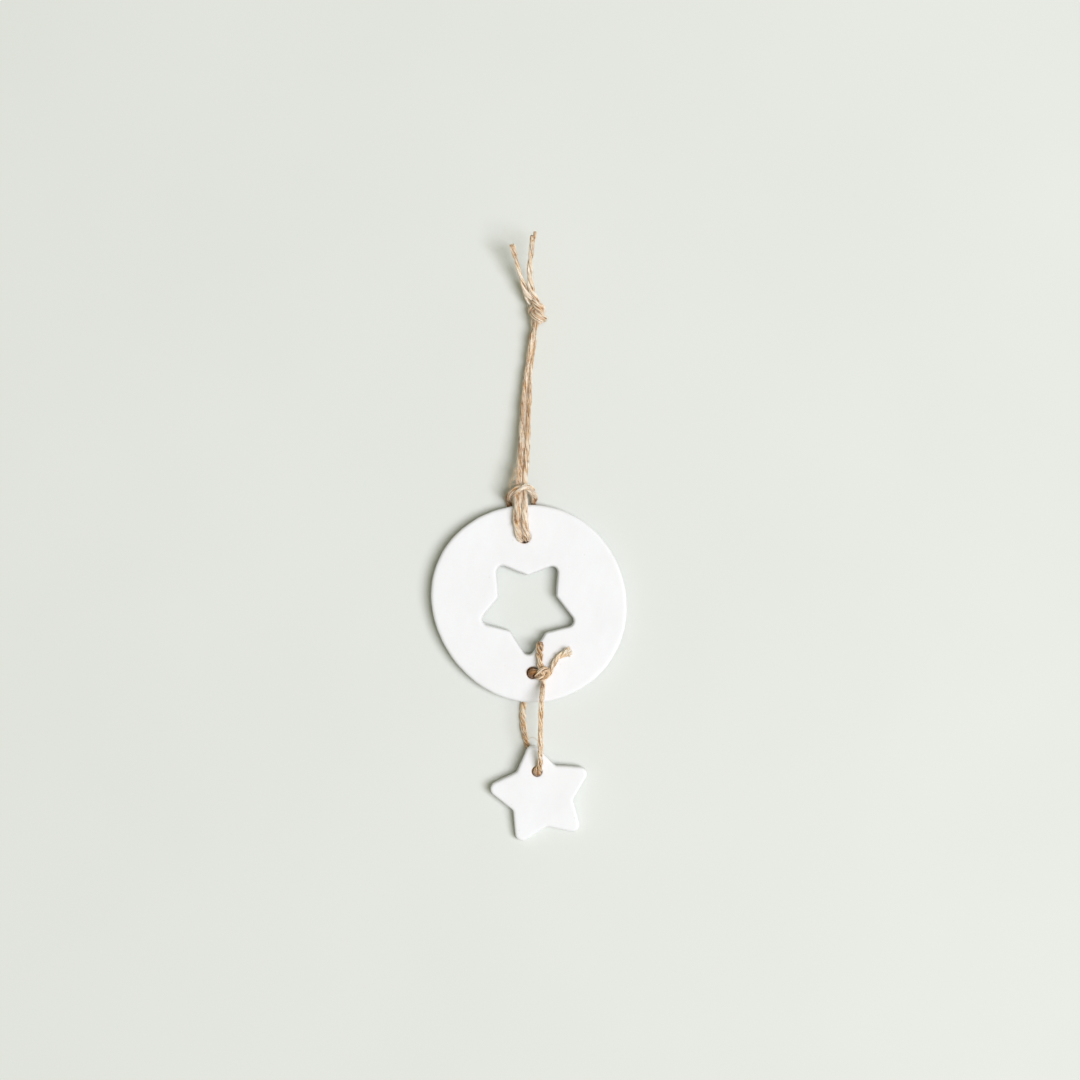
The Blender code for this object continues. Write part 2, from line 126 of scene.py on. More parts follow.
def tie(d, low_angle, high_angle, mirror=1, count=96, reach=4.6, rounds=1100, limit=1.05):
    """Two strands of thickness d tied together in one overhand knot along Y and pulled tight."""
    t = np.linspace(-2.0, 2.0, 400)
    a, b, c = t**3 - 3 * t, t**4 - 4 * t**2 + 1.6, (t**5 / 5 - 2 * t) * mirror
    core = np.stack([b, a * 1.3, c * 1.3], 1) * 1.35 * d
    reach = reach * d
    lead = np.linspace(0, 1, 60)[:, None]
    low = core[0] * lead + np.array([0.0, -reach * 1.6, 0.0]) * (1 - lead)
    high = core[-1] * (1 - lead) + np.array([0.0, reach * 1.6, 0.0]) * lead
    line = even(np.concatenate([low[:-1], core, high[1:]]), count)
    for _ in range(20):
        line[1:-1] = line[1:-1] * 0.5 + (line[:-2] + line[2:]) * 0.25
    _, n, bi = transport(line)

    def seen_from(i, want):
        w = np.array([math.cos(want), 0.0, math.sin(want)])
        return math.atan2(np.dot(w, bi[i]), np.dot(w, n[i]))

    first, last = seen_from(0, low_angle), seen_from(-1, high_angle)
    turned = (last - first + math.pi) % (2 * math.pi) - math.pi
    turn = first + turned * np.linspace(0, 1, count)
    off = n * np.cos(turn)[:, None] + bi * np.sin(turn)[:, None]
    p = np.stack([line + off * d * 0.55, line - off * d * 0.55])
    pins, goal = p[:, [0, -1]].copy(), p[:, [0, -1]].copy()
    for k, s in ((0, 0.5 * d), (1, -0.5 * d)):
        goal[k, 0] = (math.cos(low_angle) * s, -reach, math.sin(low_angle) * s)
        goal[k, 1] = (math.cos(high_angle) * s, reach, math.sin(high_angle) * s)
    length = np.linalg.norm(np.diff(p, axis=1), axis=2).mean()
    apart = np.abs(np.arange(count)[:, None] - np.arange(count)[None])
    for r in range(rounds):
        f = min(1.0, r / (rounds * 0.35))
        p[:, 0] = pins[:, 0] + (goal[:, 0] - pins[:, 0]) * f
        p[:, -1] = pins[:, 1] + (goal[:, 1] - pins[:, 1]) * f
        if np.linalg.norm(np.diff(p, axis=1), axis=2).mean() / length < limit:
            length *= 0.997
        p[:, 1:-1] += 0.10 * ((p[:, :-2] + p[:, 2:]) * 0.5 - p[:, 1:-1])
        q = p.reshape(-1, 3)
        diff = q[:, None] - q[None]
        dist = np.sqrt((diff**2).sum(2)) + 1e-9
        push = np.where(dist >= d, 0.0, (d - dist) / dist * 0.5)
        near = apart < max(2, int(math.ceil(1.5 * d / length)))
        for k in (0, 1):
            push[k * count:(k + 1) * count, k * count:(k + 1) * count][near] = 0.0
        hits = np.maximum((push > 0).sum(1), 1)
        q += (diff * push[:, :, None]).sum(1) / hits[:, None] * 1.6
        p = q.reshape(2, count, 3)
        for _ in range(3):
            for start in (0, 1):
                i = np.arange(start, count - 1, 2)
                v = p[:, i + 1] - p[:, i]
                fix = v * (1 - length / np.linalg.norm(v, axis=2, keepdims=True)) * 0.5
                p[:, i] += fix
                p[:, i + 1] -= fix
    return p


def placed_knot(d, spin, lean, centre, low, high, mirror, keep, squash=1.0):
    """The knot's two strands from their low ends to their high ends, in place. `spin` turns it
    about its own length, `lean` is the direction of that length, both in degrees. `low` and
    `high` are the directions, in the picture's X and Z, in which the first strand lies."""
    x = math.radians(spin)
    p = tie(d, math.radians(low) - x, math.radians(high) - x, mirror)
    c, s = math.cos(x), math.sin(x)
    q = p @ np.array([[c, 0, -s], [0, 1, 0], [s, 0, c]]).T
    kept = []
    for strand in q:
        first = np.where(strand[:, 1] > -keep[0] * d)[0][0]
        last_ = np.where(strand[:, 1] < keep[1] * d)[0][-1]
        kept.append(strand[first:last_ + 1])
    both = np.concatenate(kept)
    middle = (both.min(0) + both.max(0)) / 2
    r = np.array(Matrix.Rotation(math.radians(lean - 90), 3, "Z"))
    out = []
    for strand in kept:
        local = strand - middle
        local[:, 2] *= squash
        strand = local @ r.T + np.array(centre)
        out.append(even(strand, max(6, int(len(strand) * 0.5))))
    return out


# ---------------------------------------------------------------- one mesh of many closed tubes
class Bundle:
    def __init__(self):
        self.verts, self.tubes, self.count = [], [], 0

    def add(self, rings, tone, weight=1.0):
        """rings: (rings, sides, 3). tone: one number for each ring. Ends are closed."""
        m, k = rings.shape[:2]
        length = np.linalg.norm(np.diff(rings.mean(1), axis=0), axis=1).sum()
        self.verts.append(rings.reshape(-1, 3))
        self.tubes.append((self.count, m, k, length, np.asarray(tone, float), weight))
        self.count += m * k

    def mesh(self, name):
        # every tube gets a strip of its own in the map, the long ones a whole row
        order = sorted(range(len(self.tubes)), key=lambda i: (-self.tubes[i][5], -self.tubes[i][3]))
        widest = max(t[3] for t in self.tubes) * 1.001
        rows, place, x, top, high = [], {}, 0.0, 0.0, 0.0
        for i in order:
            _, _, _, length, _, weight = self.tubes[i]
            if x > 0 and (x + length > widest or weight != high):
                top += high
                x = 0.0
            high = weight
            place[i] = (x, top, length, weight)
            x += length * 1.02 + 0.02
        total = top + high
        loops, sizes, uvs, soft = [], [], [], []
        tone = np.zeros(self.count)
        for i, (start, m, k, length, t, weight) in enumerate(self.tubes):
            tone[start:start + m * k] = np.repeat(t, k)
            x0, y0, w, h = place[i]
            ring, side = np.meshgrid(np.arange(m - 1), np.arange(k), indexing="ij")
            ring, side = ring.ravel(), side.ravel()
            after = (side + 1) % k
            quad = np.stack([ring * k + side, ring * k + after,
                             (ring + 1) * k + after, (ring + 1) * k + side], 1) + start
            loops.append(quad.ravel())
            sizes.append(np.full(len(quad), 4))
            soft.append(np.ones(len(quad) + 2, bool))
            soft[-1][-2:] = False       # its two ends are cut off flat
            u0, u1 = ring / (m - 1), (ring + 1) / (m - 1)
            v0, v1 = side / k * 0.94 + 0.03, (side + 1) / k * 0.94 + 0.03
            uv = np.stack([np.stack([u0, v0], 1), np.stack([u0, v1], 1),
                           np.stack([u1, v1], 1), np.stack([u1, v0], 1)], 1)
            uv[..., 0] = (x0 + uv[..., 0] * w) / (widest * 1.02)
            uv[..., 1] = (y0 + uv[..., 1] * h) / total
            uvs.append(uv.reshape(-1, 2))
            for end, turn in ((0, -1), (m - 1, 1)):
                cap = (end * k + np.arange(k)[::turn]) + start
                loops.append(cap)
                sizes.append(np.array([k]))
                a = 2 * np.pi * np.arange(k)[::turn] / k
                at = x0 + (0.003 * w if end == 0 else 0.997 * w)
                uvs.append(np.stack([(at + np.cos(a) * 0.002 * w) / (widest * 1.02),
                                     (y0 + h * (0.5 + 0.3 * np.sin(a))) / total], 1))
        verts = np.concatenate(self.verts) * MM
        loops, sizes, uvs = np.concatenate(loops), np.concatenate(sizes), np.concatenate(uvs)
        me = bpy.data.meshes.new(name)
        me.vertices.add(len(verts))
        me.vertices.foreach_set("co", verts.astype(np.float32).ravel())
        me.loops.add(len(loops))
        me.loops.foreach_set("vertex_index", loops.astype(np.int32))
        me.polygons.add(len(sizes))
        me.polygons.foreach_set(
            "loop_start", np.concatenate([[0], np.cumsum(sizes)[:-1]]).astype(np.int32))
        me.polygons.foreach_set("use_smooth", np.concatenate(soft))
        me.update(calc_edges=True)
        layer = me.uv_layers.new(name="OFBake", do_init=False)
        layer.uv.foreach_set("vector", uvs.astype(np.float32).ravel())
        me.attributes.new("tone", "FLOAT", "POINT").data.foreach_set(
            "value", tone.astype(np.float32))
        me.validate()
        return me


def link(name, me, *materials):
    ob = bpy.data.objects.new(name, me)
    bpy.context.scene.collection.objects.link(ob)
    for m in materials:
        me.materials.append(m)
    return ob


def wander(rng, s, scale, rows=None):
    """Smooth noise of about -1 to 1 along s, with bumps `scale` millimetres long."""
    knots = int((s[-1] - s[0]) / scale) + 5
    value = rng.uniform(-1, 1, (rows or 1, knots))
    at = (s - s[0]) / scale + 1
    i = np.floor(at).astype(int)
    f = at - i
    f = f * f * (3 - 2 * f)
    out = value[:, i] * (1 - f) + value[:, i + 1] * f
    return out if rows else out[0]


# ---------------------------------------------------------------- outlines of the clay
def star_loop(cx, cy, tip, notch, tip_r, notch_r, turn, shrink, edge, arc, pulled=()):
    """A rounded five-pointed star, its edges moved in by `shrink`, always with as many points."""
    half_angle = math.atan2(notch * math.sin(math.pi / 5), tip - notch * math.cos(math.pi / 5))
    tip = tip - shrink / math.sin(half_angle)
    notch = notch - shrink / math.sin(half_angle + math.pi / 5)
    tip_r, notch_r = tip_r - shrink, notch_r + shrink
    corners = []
    for k in range(10):
        a = math.radians(turn + 36 * k)
        r = notch if k % 2 else tip
        corners.append(Vector((r * math.cos(a), r * math.sin(a))))
    for k, dx, dy in pulled:
        corners[k] += Vector((dx, dy))
    arcs = []
    for k, here in enumerate(corners):
        before = (corners[k - 1] - here).normalized()
        after = (corners[(k + 1) % 10] - here).normalized()
        radius = notch_r if k % 2 else tip_r
        corner = before.angle(after) / 2
        middle = here + (before + after).normalized() * (radius / math.sin(corner))
        first = here + before * (radius / math.tan(corner)) - middle
        last_ = here + after * (radius / math.tan(corner)) - middle
        turned = first.angle_signed(last_)
        arcs.append([middle + Matrix.Rotation(-turned * j / (arc - 1), 2) @ first
                     for j in range(arc)])
    out = []
    for k in range(10):
        out += arcs[k]
        a, b = arcs[k][-1], arcs[(k + 1) % 10][0]
        out += [a.lerp(b, j / edge) for j in range(1, edge)]
    return np.array([(cx + q.x, cy + q.y) for q in out])


def out_of_round(a, waves):
    """How far the hand-cut rim lies outside its mean radius, in each direction."""
    return sum(c * np.cos(n * a) + s * np.sin(n * a) for n, c, s in waves)


def round_loop(cx, cy, r, count, waves=()):
    a = 2 * np.pi * np.arange(count) / count
    rr = r + out_of_round(a, waves)
    return np.stack([cx + rr * np.cos(a), cy + rr * np.sin(a)], 1)


def inside(points, loop):
    """Whether each point lies inside the closed loop."""
    x, y = points[:, 0][:, None], points[:, 1][:, None]
    x0, y0 = loop[:, 0][None], loop[:, 1][None]
    x1, y1 = np.roll(loop[:, 0], -1)[None], np.roll(loop[:, 1], -1)[None]
    crosses = ((y0 > y) != (y1 > y)) & (x < (x1 - x0) * (y - y0) / (y1 - y0 + 1e-12) + x0)
    return crosses.sum(1) % 2 == 1


STAR_OUTLINE = star_loop(*STAR_FROM_HOLE, STAR_TIP, STAR_NOTCH, STAR_TIP_R, STAR_NOTCH_R,
                         90 + STAR_TURN, -0.03, 3, 6)


# ---------------------------------------------------------------- the clay, as the twine feels it
def keep_out(p, room=0.03):
    """Moves points that are inside the clay to its nearest face, and points under the table
    to its top. Soft twine is pressed flat where it lies against something hard."""
    p = p.copy()
    x, y, z = p[:, 0], p[:, 1], p[:, 2]
    low, high = DISC_Z - room, DISC_Z + CLAY_T + room
    edge = DISC_R + out_of_round(np.arctan2(y - DISC_C[1], x - DISC_C[0]), DISC_WAVES)
    rim = edge + room - np.hypot(x - DISC_C[0], y - DISC_C[1])
    at_rim = rim < 1.2 + room
    soft_high = high - np.where(at_rim, 0.9 * np.clip((1.2 - rim) / 1.2, 0, 1) ** 2, 0.0)
    inside_clay = (rim > 0) & (z > low) & (z < soft_high)
    for (hx, hy), hr in ((TOP_HOLE, TOP_HOLE_R), (LOW_HOLE, LOW_HOLE_R)):
        d = np.hypot(x - hx, y - hy)
        lip = np.clip((z - (high - 0.8)) / 0.8, 0, 1) ** 2 * 0.8
        wide = hr - room + lip
        inside_clay &= ~(d < wide)
        near = inside_clay & (d < wide + 1.6) & (d - wide < np.minimum(soft_high - z, z - low))
        k = (wide / np.maximum(d, 1e-6))[near]
        x[near], y[near] = hx + (x[near] - hx) * k, hy + (y[near] - hy) * k
        inside_clay &= ~near
    outwards = inside_clay & (rim < np.minimum(soft_high - z, z - low))
    if outwards.any():
        dx, dy = x[outwards] - DISC_C[0], y[outwards] - DISC_C[1]
        k = (edge[outwards] + room) / np.hypot(dx, dy)
        x[outwards], y[outwards] = DISC_C[0] + dx * k, DISC_C[1] + dy * k
        inside_clay &= ~outwards
    up_ = inside_clay & (soft_high - z <= z - low)
    z[up_] = soft_high[up_]
    z[inside_clay & ~up_] = low
    # the star, in its own tilted frame
    tilt = math.radians(STAR_TILT)
    c, s_ = math.cos(tilt), math.sin(tilt)
    sx, dy, dz = x - STAR_HOLE[0], y - STAR_HOLE[1], z - STAR_HOLE[2]
    sy, sz = dy * c + dz * s_, dz * c - dy * s_
    half_t = CLAY_T / 2 + room
    flat = np.column_stack([sx, sy])
    deep = (np.abs(sz) < half_t) & (np.abs(sx - STAR_FROM_HOLE[0]) < 24) \
        & (np.abs(sy - STAR_FROM_HOLE[1]) < 24)
    if deep.any():
        hit = np.zeros(len(p), bool)
        hit[deep] = inside(flat[deep], STAR_OUTLINE)
        d = np.hypot(sx, sy)
        wide = STAR_HOLE_R - room + np.clip((np.abs(sz) - half_t + 0.7) / 0.7, 0, 1) ** 2 * 0.7
        hit &= ~(d < wide)
        near = hit & (d < wide + 1.5) & (d - wide < half_t - np.abs(sz))
        k = (wide / np.maximum(d, 1e-6))[near]
        sx[near], sy[near] = sx[near] * k, sy[near] * k
        hit &= ~near
        sz[hit] = np.where(sz[hit] > 0, half_t, -half_t)
        moved = near | hit
        x[moved] = STAR_HOLE[0] + sx[moved]
        y[moved] = STAR_HOLE[1] + (sy * c - sz * s_)[moved]
        z[moved] = STAR_HOLE[2] + (sy * s_ + sz * c)[moved]
    # on the table the lowest ones are pressed together, but not into one plane
    squeezed = 0.02 + 0.25 / (1 + np.maximum(0.25 - z, 0.0) / 0.25)
    p[:, 0], p[:, 1], p[:, 2] = x, y, np.where(z < 0.25, squeezed, z + 0.02)
    return p


# ---------------------------------------------------------------- twine
class Twine:
    """A length of two-ply jute: a centreline, how thick it is along it, and its fibres."""

    def __init__(self, line, radius, pitch, seed, phase=0.0, fibres=20, apart=0.47, rough=1.0,
                 shade=0.0):
        self.p = line
        self.s = far_along(line)
        self.t, self.n, self.b = transport(line)
        self.rng = np.random.default_rng(seed)
        rng, s = self.rng, self.s
        self.r = radius * (1 + rough * (0.07 * wander(rng, s, 4.0) + 0.05 * wander(rng, s, 1.7)))
        self.apart = apart * np.ones(len(s))
        # a tone offset for every ring: real paler and darker stretches of the jute, and painted shade
        self.shade = shade * np.ones(len(s))
        # S-laid: the plies turn left-handed about the line
        self.phi = phase - 2 * np.pi * s / pitch + 0.35 * wander(rng, s, 6.0)
        self.tubes = []
        self.cut = []
        for ply in (0, 1):
            share = 1 + 0.07 * wander(rng, s, 4.0)
            self._ply(ply, share, pitch, fibres)

    def _at(self, ply, radial, sideways):
        """Points at that distance from the line, towards the ply and across it, in radii."""
        a = self.phi + math.pi * ply
        er = self.n * np.cos(a)[:, None] + self.b * np.sin(a)[:, None]
        et = np.cross(self.t, er)
        return self.p + er * (radial * self.r)[:, None] + et * (sideways * self.r)[:, None]

    def _ply(self, ply, share, pitch, fibres):
        rng, s = self.rng, self.s
        high, wide = 0.93 - 0.94 * self.apart, 0.66 + 0.95 * np.maximum(0.5 - self.apart, -0.02)
        k = 12
        angle = np.arange(k) * 2 * np.pi / k
        rings = np.stack([
            self._at(ply, self.apart + 0.90 * high * share * math.cos(a),
                     0.90 * wide * share * math.sin(a)) for a in angle], 1)
        # the ply's core, under its fibres, is dark brown: painted shade in the gaps between the fibres
        self._keep(rings, np.full(len(s), -1.25), 1.6, 0, 0.55)
        # its fibres, in clumps, which lie nearly along the twine
        clumps = 6
        drift = [0.55 * wander(rng, s, 5.0) for _ in range(clumps)]
        sink = [np.abs(wander(rng, s, 3.0)) for _ in range(clumps)]
        shade = [rng.uniform(-0.35, 0.35) + 0.5 * wander(rng, s, 5.0) for _ in range(clumps)]
        for f in range(fibres):
            clump = int(f * clumps / fibres)
            start = 2 * np.pi * f / fibres
            psi = start + 2 * np.pi * s / (pitch * 1.08) + drift[clump] + 0.22 * wander(rng, s, 3.5)
            deep = 0.99 - 0.17 * sink[clump] - 0.08 * np.abs(wander(rng, s, 2.0))
            thick = rng.uniform(0.085, 0.135) * (1 + 0.2 * wander(rng, s, 2.0))
            tone = shade[clump] + rng.uniform(-0.75, 0.65) + 0.4 * wander(rng, s, 3.0)
            self._fibre(ply, share, psi, deep, thick, tone, 5, 1.0, high, wide)
        # a few finer, paler ones that cross over the others
        for f in range(5):
            psi = rng.uniform(0, 2 * np.pi) + 2 * np.pi * s / (pitch * rng.uniform(0.6, 1.6)) \
                + 1.3 * wander(rng, s, 6.0)
            deep = 1.07 + 0.09 * wander(rng, s, 4.0)
            thick = rng.uniform(0.040, 0.062) * (1 + 0.2 * wander(rng, s, 2.0))
            tone = rng.uniform(0.3, 1.2) + 0.3 * wander(rng, s, 4.0)
            self._fibre(ply, share, psi, deep, thick, tone, 4, 0.6, high, wide)

    def _fibre(self, ply, share, psi, deep, thick, tone, sides, weight, high, wide):
        radial = self.apart + high * share * deep * np.cos(psi)
        sideways = wide * share * deep * np.sin(psi)
        # painted shade: fibres in the furrow between the plies are darkened
        tone = tone - 0.45 * np.clip(-np.cos(psi) * 1.5, -0.2, 1.0)
        centre = self._at(ply, radial, sideways)
        a = np.arange(sides) * 2 * np.pi / sides
        ring = (self.n[:, None] * np.cos(a)[None, :, None] + self.b[:, None] * np.sin(a)[None, :, None])
        rings = centre[:, None] + ring * (thick * np.clip(self.r, 0.8, 1.15))[:, None, None]
        self._keep(rings, tone, weight, 1, self.rng.uniform(0, 1))

    def _keep(self, rings, tone, weight, kind, luck):
        self.tubes.append((rings, tone + self.shade, weight, kind, luck))
        self.cut.append(np.ones(len(self.s), bool))

    def fray(self, at_start, spread, run, uneven):
        """Opens out the fibres at one end, over `run` millimetres, and cuts them uneven."""
        s = self.s if at_start else self.s[-1] - self.s
        f = np.clip(1 - s / run, 0, 1) ** 1.6
        for i, (rings, tone, weight, kind, luck) in enumerate(self.tubes):
            out = rings.mean(1) - self.p
            more = spread * (0.2 if kind == 0 else 0.35 + 1.3 * luck)
            rings = rings + (out * (f * more)[:, None])[:, None]
            self.tubes[i] = (rings, tone, weight, kind, luck)
            short = (0.9 if kind == 0 else 0.0) + ((luck * 7.31) % 1.0) * uneven
            self.cut[i] = self.cut[i] & (s >= short)

    def shorten(self, at_start, ply, by):
        """One ply was cut shorter than the other."""
        s = self.s if at_start else self.s[-1] - self.s
        half_ = len(self.tubes) // 2
        for i in range(ply * half_, (ply + 1) * half_):
            self.cut[i] = self.cut[i] & (s >= by)

    def piece(self, name, low, high, fuzz, fuzz_seed, long=3.4, extra=()):
        """The stretch from ring `low` to ring `high` as a mesh, with its loose hairs."""
        bundle = Bundle()
        for (rings, tone, weight, kind, luck), keep in zip(self.tubes, self.cut):
            i = np.arange(low, high + 1)
            i = i[keep[low:high + 1]]
            if len(i) < 3:
                continue
            part = rings[i[0]:i[-1] + 1]
            part = keep_out(part.reshape(-1, 3)).reshape(part.shape)
            bundle.add(part, tone[i[0]:i[-1] + 1], weight)
        rng = np.random.default_rng(fuzz_seed)
        number = int((self.s[high] - self.s[low]) * fuzz)
        for _ in range(number):
            i = int(rng.integers(low + 2, high - 2))
            a = rng.uniform(0, 2 * np.pi)
            self.loose_hair(bundle, rng, i, a, rng.uniform(0.8, long) * (1.5 if rng.random() < 0.2 else 1))
        for path, thick, tone in extra:
            hair(bundle, smooth(path, 0.35), thick, tone)
        return bundle.mesh(name)

    def loose_hair(self, bundle, rng, i, a, length):
        out = self.n[i] * math.cos(a) + self.b[i] * math.sin(a)
        side = np.cross(self.t[i], out)
        way = 1 if rng.random() < 0.6 else -1
        rise = rng.uniform(0.12, 0.85)
        u = np.linspace(0, 1, 9)[:, None]
        along = self.t[i] * way * length
        path = (self.p[i] + out * self.r[i] * 0.80 + along * u * (1 - 0.25 * rise * u)
                + out * length * rise * (u * 0.8 - 0.45 * rng.uniform(0.3, 1.6) * u * u)
                + side * length * rng.uniform(-0.5, 0.5) * u * u)
        # a hair stays close to its own stretch of twine, and out of the clay
        j = np.clip(i + (way * u[:, 0] * length / (self.s[1] - self.s[0])).astype(int), 0,
                    len(self.p) - 1)
        away = path - self.p[j]
        far = np.linalg.norm(away, axis=1)
        most = min(1.0 + 1.15 * self.r[i], 2.6)
        path = self.p[j] + away * np.minimum(1.0, most / np.maximum(far, 1e-6))[:, None]
        path[1:-1] = path[1:-1] * 0.5 + (path[:-2] + path[2:]) * 0.25
        path = keep_out(path, 0.08)
        path[:, 2] = np.maximum(path[:, 2], 0.06)
        hair(bundle, path, rng.uniform(0.024, 0.048) * np.linspace(1.1, 0.45, 9), rng.uniform(0.3, 1.5))


def hair(bundle, path, thick, tone, sides=3):
    t, n, b = transport(path)
    a = np.arange(sides) * 2 * np.pi / sides
    ring = n[:, None] * np.cos(a)[None, :, None] + b[:, None] * np.sin(a)[None, :, None]
    thick = np.broadcast_to(np.asarray(thick, float), (len(path),))
    bundle.add(path[:, None] + ring * thick[:, None, None], np.full(len(path), tone), 0.25)


def nearest(line, point):
    return int(np.argmin(np.linalg.norm(line - np.array(point), axis=1)))


def stations(line, places, window=60.0):
    """A number for every ring, from places (x, y, z, number) met in turn along the line."""
    s, at, values, last_ = far_along(line), [], [], 0
    for x, y, z, value in places:
        ahead = np.where((s >= s[last_]) & (s <= s[last_] + window))[0]
        i = int(ahead[np.argmin(np.linalg.norm(line[ahead] - np.array((x, y, z)), axis=1))])
        at.append(s[i])
        values.append(value)
        last_ = i
    return np.interp(s, at, values)


def far_along(line):
    return np.concatenate([[0.0], np.cumsum(np.linalg.norm(np.diff(line, axis=0), axis=1))])


# ---------------------------------------------------------------- materials
def nodes_of(name):
    m = bpy.data.materials.new(name)
    m.use_nodes = True
    tree = m.node_tree
    return m, tree, tree.nodes["Principled BSDF"]


def node(tree, kind, **values):
    n = tree.nodes.new(kind)
    for key, value in values.items():
        if key in n.inputs.keys():
            n.inputs[key].default_value = value
        else:
            setattr(n, key, value)
    return n


def ramp(tree, stops):
    n = tree.nodes.new("ShaderNodeValToRGB")
    e = n.color_ramp.elements
    while len(e) < len(stops):
        e.new(0.5)
    for target, (at, colour) in zip(e, stops):
        target.position = at
        target.color = (*colour, 1.0)
    return n


def jute(name, dark, mid, light, pale):
    m, tree, surface = nodes_of(name)
    link_ = tree.links.new
    where = tree.nodes.new("ShaderNodeTexCoord")
    tone = node(tree, "ShaderNodeAttribute", attribute_name="tone")
    # blotches a few millimetres long, as the raw fibre has
    blotch = node(tree, "ShaderNodeTexNoise", Scale=260.0, Detail=3.0, Roughness=0.6)
    link_(where.outputs["Object"], blotch.inputs["Vector"])
    fine = node(tree, "ShaderNodeTexNoise", Scale=1900.0, Detail=2.0, Roughness=0.55)
    link_(where.outputs["Object"], fine.inputs["Vector"])
    a = node(tree, "ShaderNodeMath", operation="MULTIPLY_ADD")
    link_(tone.outputs["Fac"], a.inputs[0])
    a.inputs[1].default_value = 0.27
    a.inputs[2].default_value = -0.02
    b = node(tree, "ShaderNodeMath", operation="MULTIPLY_ADD")
    link_(blotch.outputs["Fac"], b.inputs[0])
    b.inputs[1].default_value = 0.62
    link_(a.outputs[0], b.inputs[2])
    c = node(tree, "ShaderNodeMath", operation="MULTIPLY_ADD")
    link_(fine.outputs["Fac"], c.inputs[0])
    c.inputs[1].default_value = 0.34
    link_(b.outputs[0], c.inputs[2])
    colour = ramp(tree, [(0.18, dark), (0.40, mid), (0.60, light), (0.84, pale)])
    link_(c.outputs[0], colour.inputs["Fac"])
    # the colour of the raw fibre comes and goes a little: redder here, greyer there
    move = node(tree, "ShaderNodeMapping")
    move.inputs["Location"].default_value = (0.37, 0.11, 0.05)
    link_(where.outputs["Object"], move.inputs["Vector"])
    stain = node(tree, "ShaderNodeTexNoise", Scale=420.0, Detail=2.0, Roughness=0.6)
    link_(move.outputs["Vector"], stain.inputs["Vector"])
    strong = node(tree, "ShaderNodeMapRange", **{"From Min": 0.34, "From Max": 0.66, "To Min": 0.86,
                                                 "To Max": 1.20})
    link_(stain.outputs["Fac"], strong.inputs["Value"])
    dyed = node(tree, "ShaderNodeHueSaturation")
    link_(strong.outputs["Result"], dyed.inputs["Saturation"])
    link_(colour.outputs["Color"], dyed.inputs["Color"])
    link_(dyed.outputs["Color"], surface.inputs["Base Color"])
    rough = node(tree, "ShaderNodeMapRange", **{"To Min": 0.72, "To Max": 0.95})
    link_(fine.outputs["Fac"], rough.inputs["Value"])
    link_(rough.outputs["Result"], surface.inputs["Roughness"])
    grain = node(tree, "ShaderNodeBump", Strength=0.35, Distance=0.00005)
    link_(fine.outputs["Fac"], grain.inputs["Height"])
    link_(grain.outputs["Normal"], surface.inputs["Normal"])
    surface.inputs["Specular IOR Level"].default_value = 0.25
    surface.inputs["Sheen Weight"].default_value = 0.25
    surface.inputs["Sheen Roughness"].default_value = 0.5
    return m


